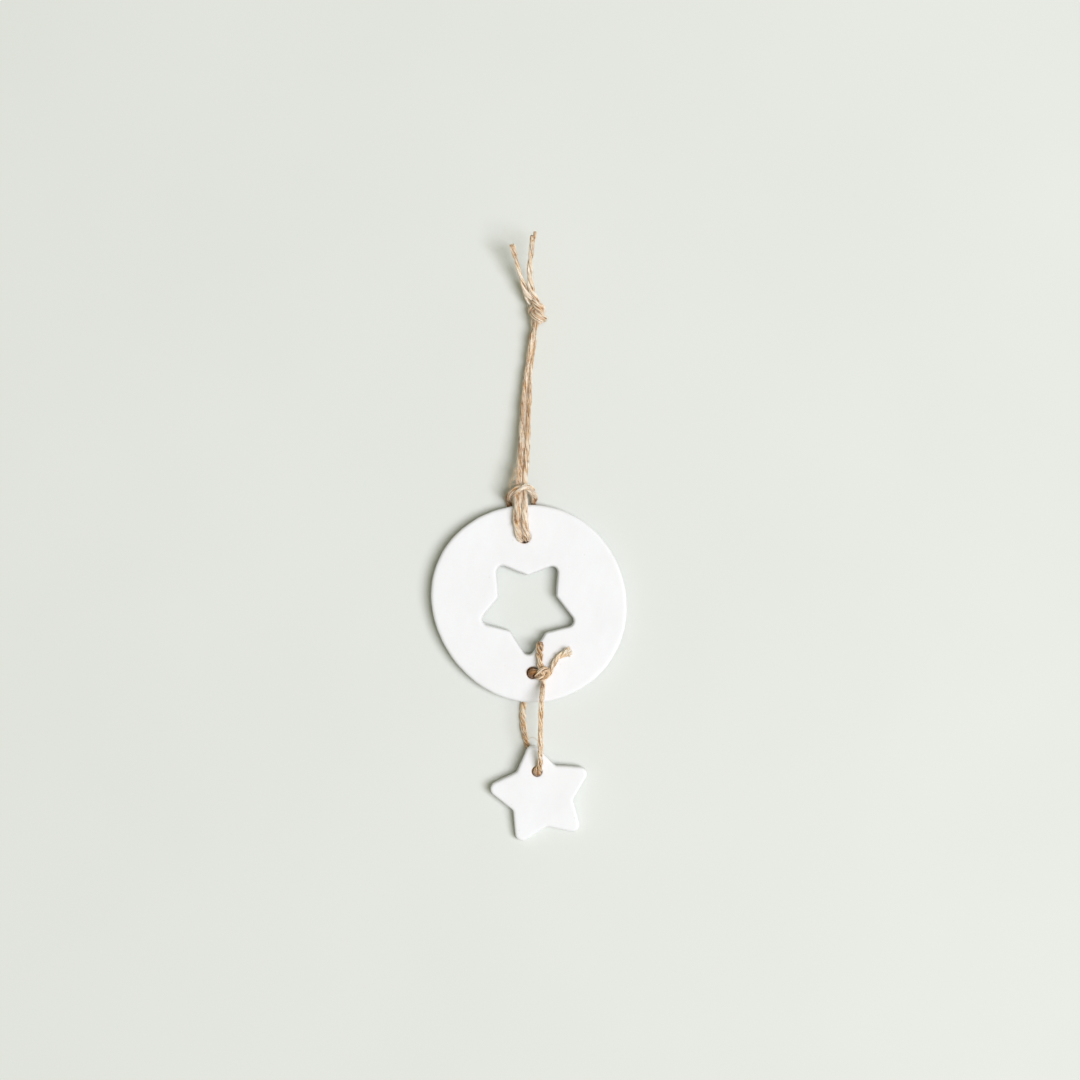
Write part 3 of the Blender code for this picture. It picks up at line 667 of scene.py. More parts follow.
def clay(name, shift, holes):
    m, tree, surface = nodes_of(name)
    link_ = tree.links.new
    where = tree.nodes.new("ShaderNodeTexCoord")
    move = node(tree, "ShaderNodeMapping")
    move.inputs["Location"].default_value = shift
    link_(where.outputs["Object"], move.inputs["Vector"])
    cloud = node(tree, "ShaderNodeTexNoise", Scale=55.0, Detail=4.0, Roughness=0.55)
    grain = node(tree, "ShaderNodeTexNoise", Scale=1500.0, Detail=3.0, Roughness=0.6)
    smear = node(tree, "ShaderNodeTexNoise", Scale=220.0, Detail=4.0, Roughness=0.5, Distortion=0.6)
    pits = node(tree, "ShaderNodeTexVoronoi", Scale=330.0, Randomness=1.0)
    for n in (cloud, grain, smear, pits):
        link_(move.outputs["Vector"], n.inputs["Vector"])
    colour = ramp(tree, [(0.25, (0.800, 0.801, 0.809)), (0.5, (0.822, 0.825, 0.837)),
                         (0.75, (0.838, 0.842, 0.857))])
    link_(cloud.outputs["Fac"], colour.inputs["Fac"])
    # tiny pin holes in a few of the cells, with painted shade: their colour is a little darker
    hole = node(tree, "ShaderNodeMapRange", **{"From Min": 0.03, "From Max": 0.12, "To Min": 1.0, "To Max": 0.0})
    link_(pits.outputs["Distance"], hole.inputs["Value"])
    few = node(tree, "ShaderNodeSeparateColor")
    link_(pits.outputs["Color"], few.inputs["Color"])
    rare = node(tree, "ShaderNodeMath", operation="GREATER_THAN")
    link_(few.outputs["Red"], rare.inputs[0])
    rare.inputs[1].default_value = 0.86
    pit = node(tree, "ShaderNodeMath", operation="MULTIPLY")
    link_(hole.outputs["Result"], pit.inputs[0])
    link_(rare.outputs[0], pit.inputs[1])
    mix = node(tree, "ShaderNodeMix", data_type="RGBA")
    link_(pit.outputs[0], mix.inputs[0])
    link_(colour.outputs["Color"], mix.inputs[6])
    mix.inputs[7].default_value = (0.74, 0.73, 0.71, 1.0)
    # painted shade: the walls of the holes are tinted dark brown, as the shaded twine inside them
    parts = tree.nodes.new("ShaderNodeSeparateXYZ")
    link_(where.outputs["Object"], parts.inputs["Vector"])
    flat = tree.nodes.new("ShaderNodeCombineXYZ")
    link_(parts.outputs["X"], flat.inputs["X"])
    link_(parts.outputs["Y"], flat.inputs["Y"])
    painted = mix.outputs[2]
    for (x, y), r in holes:
        away = node(tree, "ShaderNodeVectorMath", operation="DISTANCE")
        link_(flat.outputs["Vector"], away.inputs[0])
        away.inputs[1].default_value = (x * MM, y * MM, 0.0)
        near = node(tree, "ShaderNodeMapRange", **{"From Min": (r + 0.08) * MM, "From Max": (r + 0.42) * MM,
                                                   "To Min": 1.0, "To Max": 0.0})
        link_(away.outputs["Value"], near.inputs["Value"])
        hole_wall_shade = node(tree, "ShaderNodeMix", data_type="RGBA")
        link_(near.outputs["Result"], hole_wall_shade.inputs[0])
        link_(painted, hole_wall_shade.inputs[6])
        hole_wall_shade.inputs[7].default_value = (0.52, 0.35, 0.20, 1.0)
        painted = hole_wall_shade.outputs[2]
    link_(painted, surface.inputs["Base Color"])
    rough = node(tree, "ShaderNodeMapRange", **{"To Min": 0.60, "To Max": 0.82})
    link_(smear.outputs["Fac"], rough.inputs["Value"])
    link_(rough.outputs["Result"], surface.inputs["Roughness"])
    h1 = node(tree, "ShaderNodeMath", operation="MULTIPLY_ADD")
    link_(smear.outputs["Fac"], h1.inputs[0])
    h1.inputs[1].default_value = 1.6
    link_(grain.outputs["Fac"], h1.inputs[2])
    h2 = node(tree, "ShaderNodeMath", operation="MULTIPLY_ADD")
    link_(pit.outputs[0], h2.inputs[0])
    h2.inputs[1].default_value = -2.0
    link_(h1.outputs[0], h2.inputs[2])
    relief = node(tree, "ShaderNodeBump", Strength=0.5, Distance=0.00006)
    link_(h2.outputs[0], relief.inputs["Height"])
    link_(relief.outputs["Normal"], surface.inputs["Normal"])
    surface.inputs["Specular IOR Level"].default_value = 0.35
    surface.inputs["Subsurface Weight"].default_value = 0.12
    surface.inputs["Subsurface Radius"].default_value = (1.0, 0.9, 0.8)
    surface.inputs["Subsurface Scale"].default_value = 0.0012
    return m


jute_loop = jute("jute_twine", (0.25, 0.125, 0.055), (0.66, 0.440, 0.260),
                 (0.85, 0.70, 0.520), (0.94, 0.875, 0.765))
jute_thin = jute("jute_twine_thin", (0.24, 0.115, 0.050), (0.67, 0.440, 0.250),
                 (0.88, 0.70, 0.480), (0.98, 0.890, 0.750))
clay_disc_look = clay("white_clay", (0.0, 0.0, 0.0), ((TOP_HOLE, TOP_HOLE_R), (LOW_HOLE, LOW_HOLE_R)))
clay_star_look = clay("white_clay_star", (0.31, 0.17, 0.05), ((STAR_HOLE[:2], STAR_HOLE_R),))

# ---------------------------------------------------------------- the hanging loop's line
PAIR_LINE = np.array([      # y, x, z, how far one strand has climbed over the other, their spacing
    (59.0, -3.1, 7.6, 0.0, 2.2), (62.0, -3.0, 7.4, 0.0, 2.2), (65.1, -3.0, 7.2, 0.0, 2.2),
    (68.2, -2.95, 7.1, 0.0, 2.2), (70.5, -2.8, 7.0, 0.0, 2.2), (74.7, -2.5, 6.55, 0.0, 2.25),
    (79.7, -2.15, 6.05, 0.0, 2.3), (83.9, -1.85, 5.6, 0.0, 2.3), (89.0, -1.65, 5.0, 2.0, 2.1),
    (92.0, -1.55, 4.8, 3.0, 2.1), (95.8, -1.4, 4.5, 5.0, 2.15), (101.0, -1.1, 4.1, 8.0, 1.95),
    (106.2, -0.7, 3.8, 12.0, 1.75), (112.0, -0.1, 3.55, 18.0, 1.5), (117.7, 0.75, 3.4, 30.0, 1.5),
    (122.0, 1.35, 3.45, 52.0, 1.8), (126.4, 1.75, 3.5, 73.0, 2.1),
])


def pair_at(y, side):
    """A point on the loop's left (-1) or right (+1) strand."""
    x, z, climb, apart = (np.interp(y, PAIR_LINE[:, 0], PAIR_LINE[:, k]) for k in (1, 2, 3, 4))
    lean = math.radians(climb)
    return (x + side * apart / 2 * math.cos(lean), y, z - side * apart / 2 * math.sin(lean))


LEFT_HALF = [
    (-4.2, 65.1, 7.2), (-4.4, 62.0, 7.4), (-4.45, 59.8, 7.55), (-4.65, 56.9, 7.65),
    (-4.75, 53.5, 7.65), (-4.6, 50.2, 7.65), (-4.2, 48.2, 7.55), (-3.85, 46.9, 7.15),
    (-3.55, 45.8, 6.3), (-3.4, 45.45, 5.0), (-3.4, 45.7, 3.5), (-3.5, 46.7, 2.0),
    (-3.7, 48.9, 1.1), (-5.0, 52.8, 1.05), (-6.5, 56.3, 1.05), (-7.5, 58.6, 1.1),
    (-7.9, 60.2, 1.8), (-7.95, 61.3, 3.5), (-7.6, 62.2, 5.6), (-6.7, 63.1, 7.8),
    (-5.1, 64.2, 9.1),
]
CREST = [(-2.8, 65.35, 9.7)]
RIGHT_HALF = [
    (-0.9, 65.45, 9.45), (0.6, 64.5, 8.2), (1.55, 63.0, 5.9), (1.8, 61.5, 3.6),
    (1.8, 60.2, 1.8), (1.6, 58.6, 1.1), (1.2, 56.5, 1.05), (0.3, 52.8, 1.05),
    (-0.6, 48.9, 1.1), (-0.8, 46.7, 2.0), (-0.85, 45.7, 3.5), (-0.9, 45.4, 5.0),
    (-0.9, 45.8, 6.3), (-1.0, 46.9, 7.15), (-1.3, 48.2, 7.55), (-1.75, 50.2, 7.65),
    (-1.85, 53.5, 7.65), (-1.8, 56.9, 7.65), (-1.85, 59.8, 7.55), (-1.9, 62.0, 7.4),
    (-1.85, 65.1, 7.2),
]
TAIL_LEFT = [
    (0.45, 136.9, 4.6), (-0.85, 139.2, 5.3), (-1.8, 142.0, 6.2), (-3.0, 145.0, 7.2),
    (-4.2, 148.9, 8.7), (-5.0, 152.0, 9.9), (-5.75, 154.6, 11.1), (-6.7, 158.1, 12.8),
]
TAIL_RIGHT = [
    (2.15, 137.1, 4.1), (1.4, 139.5, 5.2), (0.6, 142.2, 7.2), (0.2, 144.8, 9.2),
    (0.15, 148.6, 12.0), (0.25, 150.8, 13.5), (0.65, 153.8, 15.3), (1.0, 156.8, 16.9),
    (1.35, 159.4, 18.1), (1.8, 162.4, 19.2),
]
STEP = 0.42

knot_a, knot_b = placed_knot(1.80, spin=240, lean=97, centre=(3.0, 132.5, 4.1), low=107, high=0,
                             mirror=1, keep=(2.35, 1.75), squash=0.85)
down = [pair_at(y, -1) for y in (123.0, 117.7, 112.0, 106.2, 101.0, 95.8, 92.0, 86.0, 80.0, 74.7,
                                 70.5, 68.2)]
up = [pair_at(y, 1) for y in (68.2, 70.5, 74.7, 80.0, 86.0, 92.0, 95.8, 101.0, 106.2, 112.0,
                              117.7, 123.0)]
# strand a comes into the knot from the loop's left strand and leaves as the right tail
hanger_line = smooth(
    TAIL_RIGHT[::-1] + [tuple(q) for q in knot_a[::-1]] + down + LEFT_HALF + CREST + RIGHT_HALF
    + up + [tuple(q) for q in knot_b] + TAIL_LEFT, STEP)
for _ in range(3):
    hanger_line[1:-1] = hanger_line[1:-1] * 0.5 + (hanger_line[:-2] + hanger_line[2:]) * 0.25
hanger_line[:, 2] = np.maximum(hanger_line[:, 2], 1.0)
thick = stations(hanger_line, [
    (*TAIL_RIGHT[9], 1.05), (*TAIL_RIGHT[8], 1.15), (*TAIL_RIGHT[7], 1.12), (*TAIL_RIGHT[5], 1.0),
    (*TAIL_RIGHT[4], 1.0), (*TAIL_RIGHT[2], 1.42), (*TAIL_RIGHT[0], 1.50),
    (*knot_a[-4], 1.16), (*knot_a[len(knot_a) // 2], 1.26), (*knot_a[3], 1.12),
    (*down[0], 1.00), (*down[1], 0.88), (*down[2], 0.78), (*down[3], 0.94), (*down[4], 1.00),
    (*down[5], 1.09), (*down[6], 1.00), (*down[7], 1.16), (*down[9], 1.27), (*down[11], 1.18),
    (*LEFT_HALF[0], 1.22), (*LEFT_HALF[1], 1.50), (*LEFT_HALF[3], 1.60), (*LEFT_HALF[4], 1.64),
    (*LEFT_HALF[5], 1.60), (*LEFT_HALF[8], 1.42), (*LEFT_HALF[12], 1.0), (*LEFT_HALF[15], 1.30),
    (*LEFT_HALF[17], 1.50), (*LEFT_HALF[19], 1.30), (*CREST[0], 1.18),
    (*RIGHT_HALF[1], 1.42), (*RIGHT_HALF[3], 1.32), (*RIGHT_HALF[5], 1.12), (*RIGHT_HALF[7], 1.0),
    (*RIGHT_HALF[9], 1.30), (*RIGHT_HALF[12], 1.54), (*RIGHT_HALF[13], 1.54), (*RIGHT_HALF[15], 1.46),
    (*RIGHT_HALF[16], 1.44), (*RIGHT_HALF[17], 1.30), (*RIGHT_HALF[18], 1.14), (*RIGHT_HALF[20], 1.14),
    (*up[0], 1.18), (*up[2], 1.27), (*up[4], 1.16), (*up[5], 1.00), (*up[6], 1.06), (*up[7], 0.98),
    (*up[8], 0.92), (*up[9], 0.76), (*up[10], 0.86), (*up[11], 1.00),
    (*knot_b[3], 1.12), (*knot_b[len(knot_b) // 2], 1.26), (*knot_b[-4], 1.16),
    (*TAIL_LEFT[0], 1.50), (*TAIL_LEFT[1], 1.46), (*TAIL_LEFT[2], 1.22), (*TAIL_LEFT[3], 0.90),
    (*TAIL_LEFT[4], 0.80), (*TAIL_LEFT[5], 0.84), (*TAIL_LEFT[6], 1.02), (*TAIL_LEFT[7], 1.12),
])
spread = stations(hanger_line, [
    (*TAIL_RIGHT[9], 0.50), (*TAIL_RIGHT[7], 0.50), (*TAIL_RIGHT[2], 0.50), (*knot_a[-4], 0.42),
    (*knot_a[3], 0.40), (*down[1], 0.36), (*down[9], 0.34), (*LEFT_HALF[3], 0.37), (*LEFT_HALF[6], 0.40), (*CREST[0], 0.48),
    (*RIGHT_HALF[3], 0.53), (*RIGHT_HALF[13], 0.40), (*RIGHT_HALF[16], 0.37), (*up[2], 0.34),
    (*up[10], 0.36), (*knot_b[3], 0.40), (*knot_b[-4], 0.42), (*TAIL_LEFT[0], 0.55), (*TAIL_LEFT[3], 0.50),
    (*TAIL_LEFT[7], 0.46),
])
# raw jute is darker here and paler there; the deep brown where the loop goes down the top hole and under the disc's
# rim is painted shade
hanger_tone_and_shade = stations(hanger_line, [
    (*TAIL_RIGHT[9], -0.1), (*TAIL_RIGHT[7], 0.4), (*TAIL_RIGHT[3], 0.6), (*TAIL_RIGHT[0], 0.6),
    (*knot_a[-4], 0.2), (*knot_a[3], 0.2), (*down[2], 0.2), (*down[9], 0.2), (*LEFT_HALF[0], 0.4),
    (*LEFT_HALF[3], 0.7), (*LEFT_HALF[6], 0.7), (*LEFT_HALF[8], 0.2), (*LEFT_HALF[9], -0.7),
    (*LEFT_HALF[11], -1.8),
    (*LEFT_HALF[15], -1.2), (*LEFT_HALF[16], -1.0), (*LEFT_HALF[18], -0.4), (*LEFT_HALF[20], 0.3),
    (*CREST[0], 0.9),
    (*RIGHT_HALF[2], 0.7), (*RIGHT_HALF[4], -0.7), (*RIGHT_HALF[10], -1.8), (*RIGHT_HALF[11], -0.8), (*RIGHT_HALF[12], 0.2),
    (*RIGHT_HALF[14], 0.7), (*RIGHT_HALF[17], 0.7), (*RIGHT_HALF[20], 0.4), (*up[2], 0.1),
    (*up[9], 0.1), (*knot_b[3], 0.2), (*knot_b[-4], 0.2), (*TAIL_LEFT[0], 0.6),
    (*TAIL_LEFT[4], 0.7), (*TAIL_LEFT[6], 0.3), (*TAIL_LEFT[7], 0.1),
])
hanger = Twine(hanger_line, thick, 14.0, seed=11, phase=0.6, apart=spread, shade=hanger_tone_and_shade)
hanger.fray(True, 0.10, 3.4, 0.9)
hanger.fray(False, 0.15, 2.6, 0.7)
hanger.shorten(True, 0, 1.7)

# where the pieces of the loop part, counted in rings along the line
half = nearest(hanger_line, CREST[0])


def ring_at(y, first):
    """The ring where the strand crosses that y, on its way down (first) or up again."""
    i = np.arange(0, half) if first else np.arange(half, len(hanger_line))
    i = i[(hanger_line[i, 1] > 60) & (hanger_line[i, 1] < 120) & (hanger_line[i, 2] < 8.6)]
    return int(i[np.argmin(np.abs(hanger_line[i, 1] - y))])


cut_a86, cut_a75 = ring_at(86.0, True), ring_at(75.0, True)
cut_b75, cut_b86 = ring_at(75.0, False), ring_at(86.0, False)
last = len(hanger_line) - 1


def wisp(rng, places, thick, tone, loose=0.5):
    """A single long fibre past the places given, a little to one side of each."""
    path = [(x + rng.normal() * loose * 0.4, y + rng.normal() * loose * 0.4,
             max(0.15, z + rng.normal() * loose * 0.4)) for x, y, z in places]
    return path, thick, tone


def stretch(name, low, high, fuzz, seed, *replaced, extra=()):
    ob = link(name, hanger.piece(name, low, high, fuzz, seed, extra=extra), jute_loop)
    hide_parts(*replaced)
    return ob


loop_a = stretch("hanger_loop_left_twine", 0, cut_a86, 5.0, 21, "hanger_loop_left", "hanger_tail_right")
strand_a = stretch("hanger_strand_left_twine", cut_a86, cut_a75, 6.6, 22,
                   "hanger_strand_left", "hanger_neck_left")
hitch = stretch("hanger_hitch_twine", cut_a75, cut_b75, 5.0, 23, "hanger_hitch")
rng = np.random.default_rng(77)
loose_ones = []
for k in range(44):     # fibres that have sprung out on the left of the hitch
    y0, z0 = rng.uniform(62, 76), rng.uniform(6.5, 9.0)
    out = rng.uniform(0.6, 3.2) * (1.0 if y0 < 71 else 0.6)
    loose_ones.append(wisp(rng, [
        (-4.4, y0, z0), (-4.9 - out * 0.6, y0 - 1.0, z0 + 0.2), (-5.0 - out, y0 - 2.4, z0 - 0.5),
        (-5.6 - out * 0.5, y0 - 4.0, z0 - 1.4), (-5.2 - out * 0.9, y0 - 5.2, z0 - 2.0)][:rng.integers(3, 6)],
        rng.uniform(0.04, 0.075), rng.uniform(-0.2, 1.2), 0.8))
for k in range(16):     # and across the opening on its right
    x0 = rng.uniform(-0.9, 0.6)
    loose_ones.append(wisp(rng, [
        (x0, 64.2, 8.9), (x0 + 0.7, 62.6, 7.4), (1.0 + rng.uniform(-0.5, 0.6), 60.8, 5.2),
        (1.3 + rng.uniform(-0.6, 0.4), 59.4, 3.0)], rng.uniform(0.035, 0.06), rng.uniform(0.0, 1.1), 0.35))
for k in range(16):     # pale ones that lie over the crest of the hitch
    across = rng.uniform(-0.5, 0.5)
    over = 11.1 + rng.uniform(-0.15, 0.25)
    loose_ones.append(wisp(rng, [
        (-5.2, 63.2 + across, over - 1.7), (-3.9, 64.7 + across, over - 0.4), (-2.6, 65.8 + across, over),
        (-1.2, 66.5 + across, over - 0.3)] if k % 2 else [
        (-3.0, 65.6 + across, over), (-1.3, 65.9 + across, over), (0.3, 65.1 + across, over - 0.9),
        (1.5, 63.6 + across, over - 2.6), (2.2, 62.2, over - 4.6)],
        rng.uniform(0.04, 0.075), rng.uniform(0.9, 1.7), 0.3))
loose_bundle = Bundle()
for path, width, tone in loose_ones:
    hair(loose_bundle, keep_out(smooth(path, 0.35), 0.08), width, tone)
loose = link("loose_fibres_hitch", loose_bundle.mesh("loose_fibres_hitch"), jute_loop)
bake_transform(loose)
strand_b = stretch("hanger_strand_right_twine", cut_b75, cut_b86, 5.0, 24,
                   "hanger_strand_right", "hanger_neck_right")
loop_b = stretch("hanger_loop_right_twine", cut_b86, last, 4.6, 25,
                 "hanger_loop_right", "hanger_knot", "hanger_tail_left")

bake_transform(hitch)
for ob in (strand_a, strand_b):
    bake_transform(ob)
for ob in (loop_a, loop_b):
    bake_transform(ob)

# ---------------------------------------------------------------- the star's twine
TAIL_UP = [(4.25, 6.5, 7.9), (4.0, 4.2, 7.9), (3.95, 2.0, 7.85), (4.05, -0.6, 8.0), (4.15, -2.6, 8.3)]
KNOT_UP = [(4.55, -4.1, 8.6), (5.0, -5.4, 8.75), (5.3, -6.8, 8.6), (5.3, -8.2, 8.3)]
FRONT = [
    (5.2, -9.9, 8.9), (4.95, -12.4, 10.6), (4.65, -15.8, 12.3), (4.4, -20.8, 13.3),
    (4.3, -24.6, 13.5), (4.2, -29.6, 13.2), (4.2, -33.5, 12.4), (4.2, -37.3, 10.9),
    (4.1, -40.4, 9.0), (3.7, -42.3, 7.3), (3.2, -43.5, 6.0), (2.95, -43.8, 4.9),
    (2.85, -43.6, 3.4), (2.6, -43.1, 2.05), (1.9, -41.3, 1.1), (0.6, -38.1, 0.98),
    (-0.8, -34.2, 0.98), (-1.6, -30.8, 0.98), (-2.15, -28.0, 0.98), (-2.5, -24.6, 0.98),
    (-2.55, -20.8, 0.98), (-2.0, -17.1, 0.98), (-0.4, -11.6, 0.98), (0.7, -7.9, 1.15),
    (1.05, -6.3, 2.1), (1.15, -5.9, 3.5), (1.2, -5.85, 5.3), (1.45, -5.85, 6.8),
]
KNOT_ROUND = [
    (2.3, -5.9, 7.9), (3.3, -5.6, 8.9), (4.4, -4.8, 9.75), (5.5, -4.25, 10.05), (6.55, -4.25, 9.4),
    (7.1, -4.85, 8.2), (6.6, -5.7, 7.3), (5.3, -6.3, 7.1), (4.1, -6.7, 7.25), (3.45, -7.2, 8.0),
    (3.9, -7.7, 9.1), (5.0, -7.65, 9.7), (6.3, -7.1, 9.4), (7.3, -6.4, 8.8), (8.1, -5.1, 8.4),
]
TAIL_SIDE = [(8.65, -3.8, 8.15), (9.45, -2.0, 7.95), (10.7, 0.0, 7.85), (12.3, 1.1, 7.9),
             (14.0, 1.95, 8.0), (15.7, 2.45, 8.2)]
UP_PHASE = 2.2
link_line = smooth(TAIL_UP + KNOT_UP + FRONT + KNOT_ROUND + TAIL_SIDE, 0.34)
for _ in range(2):
    link_line[1:-1] = link_line[1:-1] * 0.5 + (link_line[:-2] + link_line[2:]) * 0.25
link_line[:, 2] = np.maximum(link_line[:, 2], 0.95)
thin = stations(link_line, [
    (*TAIL_UP[0], 1.25), (*TAIL_UP[1], 1.46), (*TAIL_UP[2], 1.50), (*TAIL_UP[3], 1.06),
    (*TAIL_UP[4], 1.18), (*KNOT_UP[1], 0.98), (*KNOT_UP[3], 1.05), (*FRONT[0], 1.10),
    (*FRONT[1], 1.04), (*FRONT[4], 0.98), (*FRONT[7], 0.98), (*FRONT[9], 1.25), (*FRONT[10], 2.0),
    (*FRONT[12], 2.1), (*FRONT[14], 1.0), (*FRONT[18], 1.15), (*FRONT[20], 1.18), (*FRONT[23], 1.05),
    (*FRONT[25], 2.25), (*FRONT[27], 2.25), (*KNOT_ROUND[1], 1.20), (*KNOT_ROUND[3], 1.02),
    (*KNOT_ROUND[7], 0.95), (*KNOT_ROUND[11], 1.02), (*KNOT_ROUND[13], 1.02),
    (*TAIL_SIDE[0], 0.98), (*TAIL_SIDE[1], 1.0), (*TAIL_SIDE[3], 1.28), (*TAIL_SIDE[5], 1.5),
], window=30.0)
# raw jute is darker here and paler there; the dark brown in the lower hole, under the knot and at the star's hole is
# painted shade
link_tone_and_shade = stations(link_line, [
    (*TAIL_UP[0], -0.2), (*TAIL_UP[2], 0.1), (*TAIL_UP[4], 0.0), (*KNOT_UP[1], 0.2), (*FRONT[1], 0.35),
    (*FRONT[7], 0.5), (*FRONT[9], 0.35), (*FRONT[10], -0.4), (*FRONT[13], -0.6), (*FRONT[18], 0.4),
    (*FRONT[21], 0.4), (*FRONT[24], -1.2), (*FRONT[26], -2.0), (*FRONT[27], -1.9), (*KNOT_ROUND[0], -0.9),
    (*KNOT_ROUND[2], 0.3), (*KNOT_ROUND[5], 0.1), (*KNOT_ROUND[9], -0.2), (*KNOT_ROUND[12], 0.3),
    (*TAIL_SIDE[0], 0.8), (*TAIL_SIDE[3], 1.1), (*TAIL_SIDE[5], 1.0),
], window=30.0)
gap = stations(link_line, [
    (*TAIL_UP[0], 0.60), (*TAIL_UP[2], 0.62), (*TAIL_UP[3], 0.50), (*KNOT_UP[1], 0.47),
    (*FRONT[1], 0.40), (*FRONT[8], 0.40), (*FRONT[20], 0.46), (*FRONT[27], 0.47), (*KNOT_ROUND[7], 0.47),
    (*TAIL_SIDE[1], 0.48), (*TAIL_SIDE[3], 0.42), (*TAIL_SIDE[5], 0.36),
], window=60.0)
star_tie = Twine(link_line, thin, 7.6, seed=31, phase=UP_PHASE, fibres=18, apart=gap, rough=0.7,
                 shade=link_tone_and_shade)
star_tie.fray(True, 0.30, 2.6, 1.2)
star_tie.fray(False, 0.45, 4.0, 1.2)
end = len(link_line) - 1
brush_rng = np.random.default_rng(43)
brush, tip_dir, tip_side, tip_up = [], star_tie.t[end - 9], star_tie.n[end - 9], star_tie.b[end - 9]
for k in range(90):
    a, r = brush_rng.uniform(0, 2 * np.pi), math.sqrt(brush_rng.uniform(0, 1))
    root = link_line[end - 13] + (tip_side * math.cos(a) + tip_up * math.sin(a)) * r * 0.75
    flare = (tip_side * math.cos(a) + tip_up * math.sin(a)) * r
    long_ = brush_rng.uniform(3.6, 5.4)
    bend = tip_side * brush_rng.normal() * 0.25 + tip_up * brush_rng.normal() * 0.25
    brush.append(([tuple(q) for q in (
        root, root + tip_dir * long_ * 0.33 + flare * 0.30, root + tip_dir * long_ * 0.66 + flare * 0.75 + bend * 0.5,
        root + tip_dir * long_ + flare * 0.95 + bend * 0.8)],
        brush_rng.uniform(0.05, 0.10), brush_rng.uniform(0.4, 1.7)))
link_twine = link("link_twine", star_tie.piece("link_twine", 0, end, 3.2, 41, long=2.0, extra=brush),
                  jute_thin)
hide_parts("link_knot", "link_tail_up", "link_tail_side", "link_strand_back",
            "link_strand_front", "link_star_bight")
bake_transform(link_twine)

stray_bundle = Bundle()
hair(stray_bundle, smooth([(-1.4, -32.9, 1.5), (-0.77, -32.0, 2.9), (0.1, -31.0, 4.4), (0.96, -30.5, 5.6),
                           (2.1, -30.8, 6.6), (3.07, -31.9, 7.2)], 0.35), 0.075, 0.0)
stray = link("loose_fibre_link", stray_bundle.mesh("loose_fibre_link"), jute_thin)
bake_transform(stray)


# ---------------------------------------------------------------- clay
def field(rng, count, shortest, longest):
    """A smooth random function of place: a sum of waves in all directions."""
    k = 2 * np.pi / rng.uniform(shortest, longest, count)
    d = rng.normal(size=(count, 3))
    d = d / np.linalg.norm(d, axis=1)[:, None] * k[:, None]
    ph = rng.uniform(0, 2 * np.pi, count)

    def value(p):
        return np.sin(p @ d.T + ph).sum(1) / math.sqrt(count / 2) / 1.4
    return value


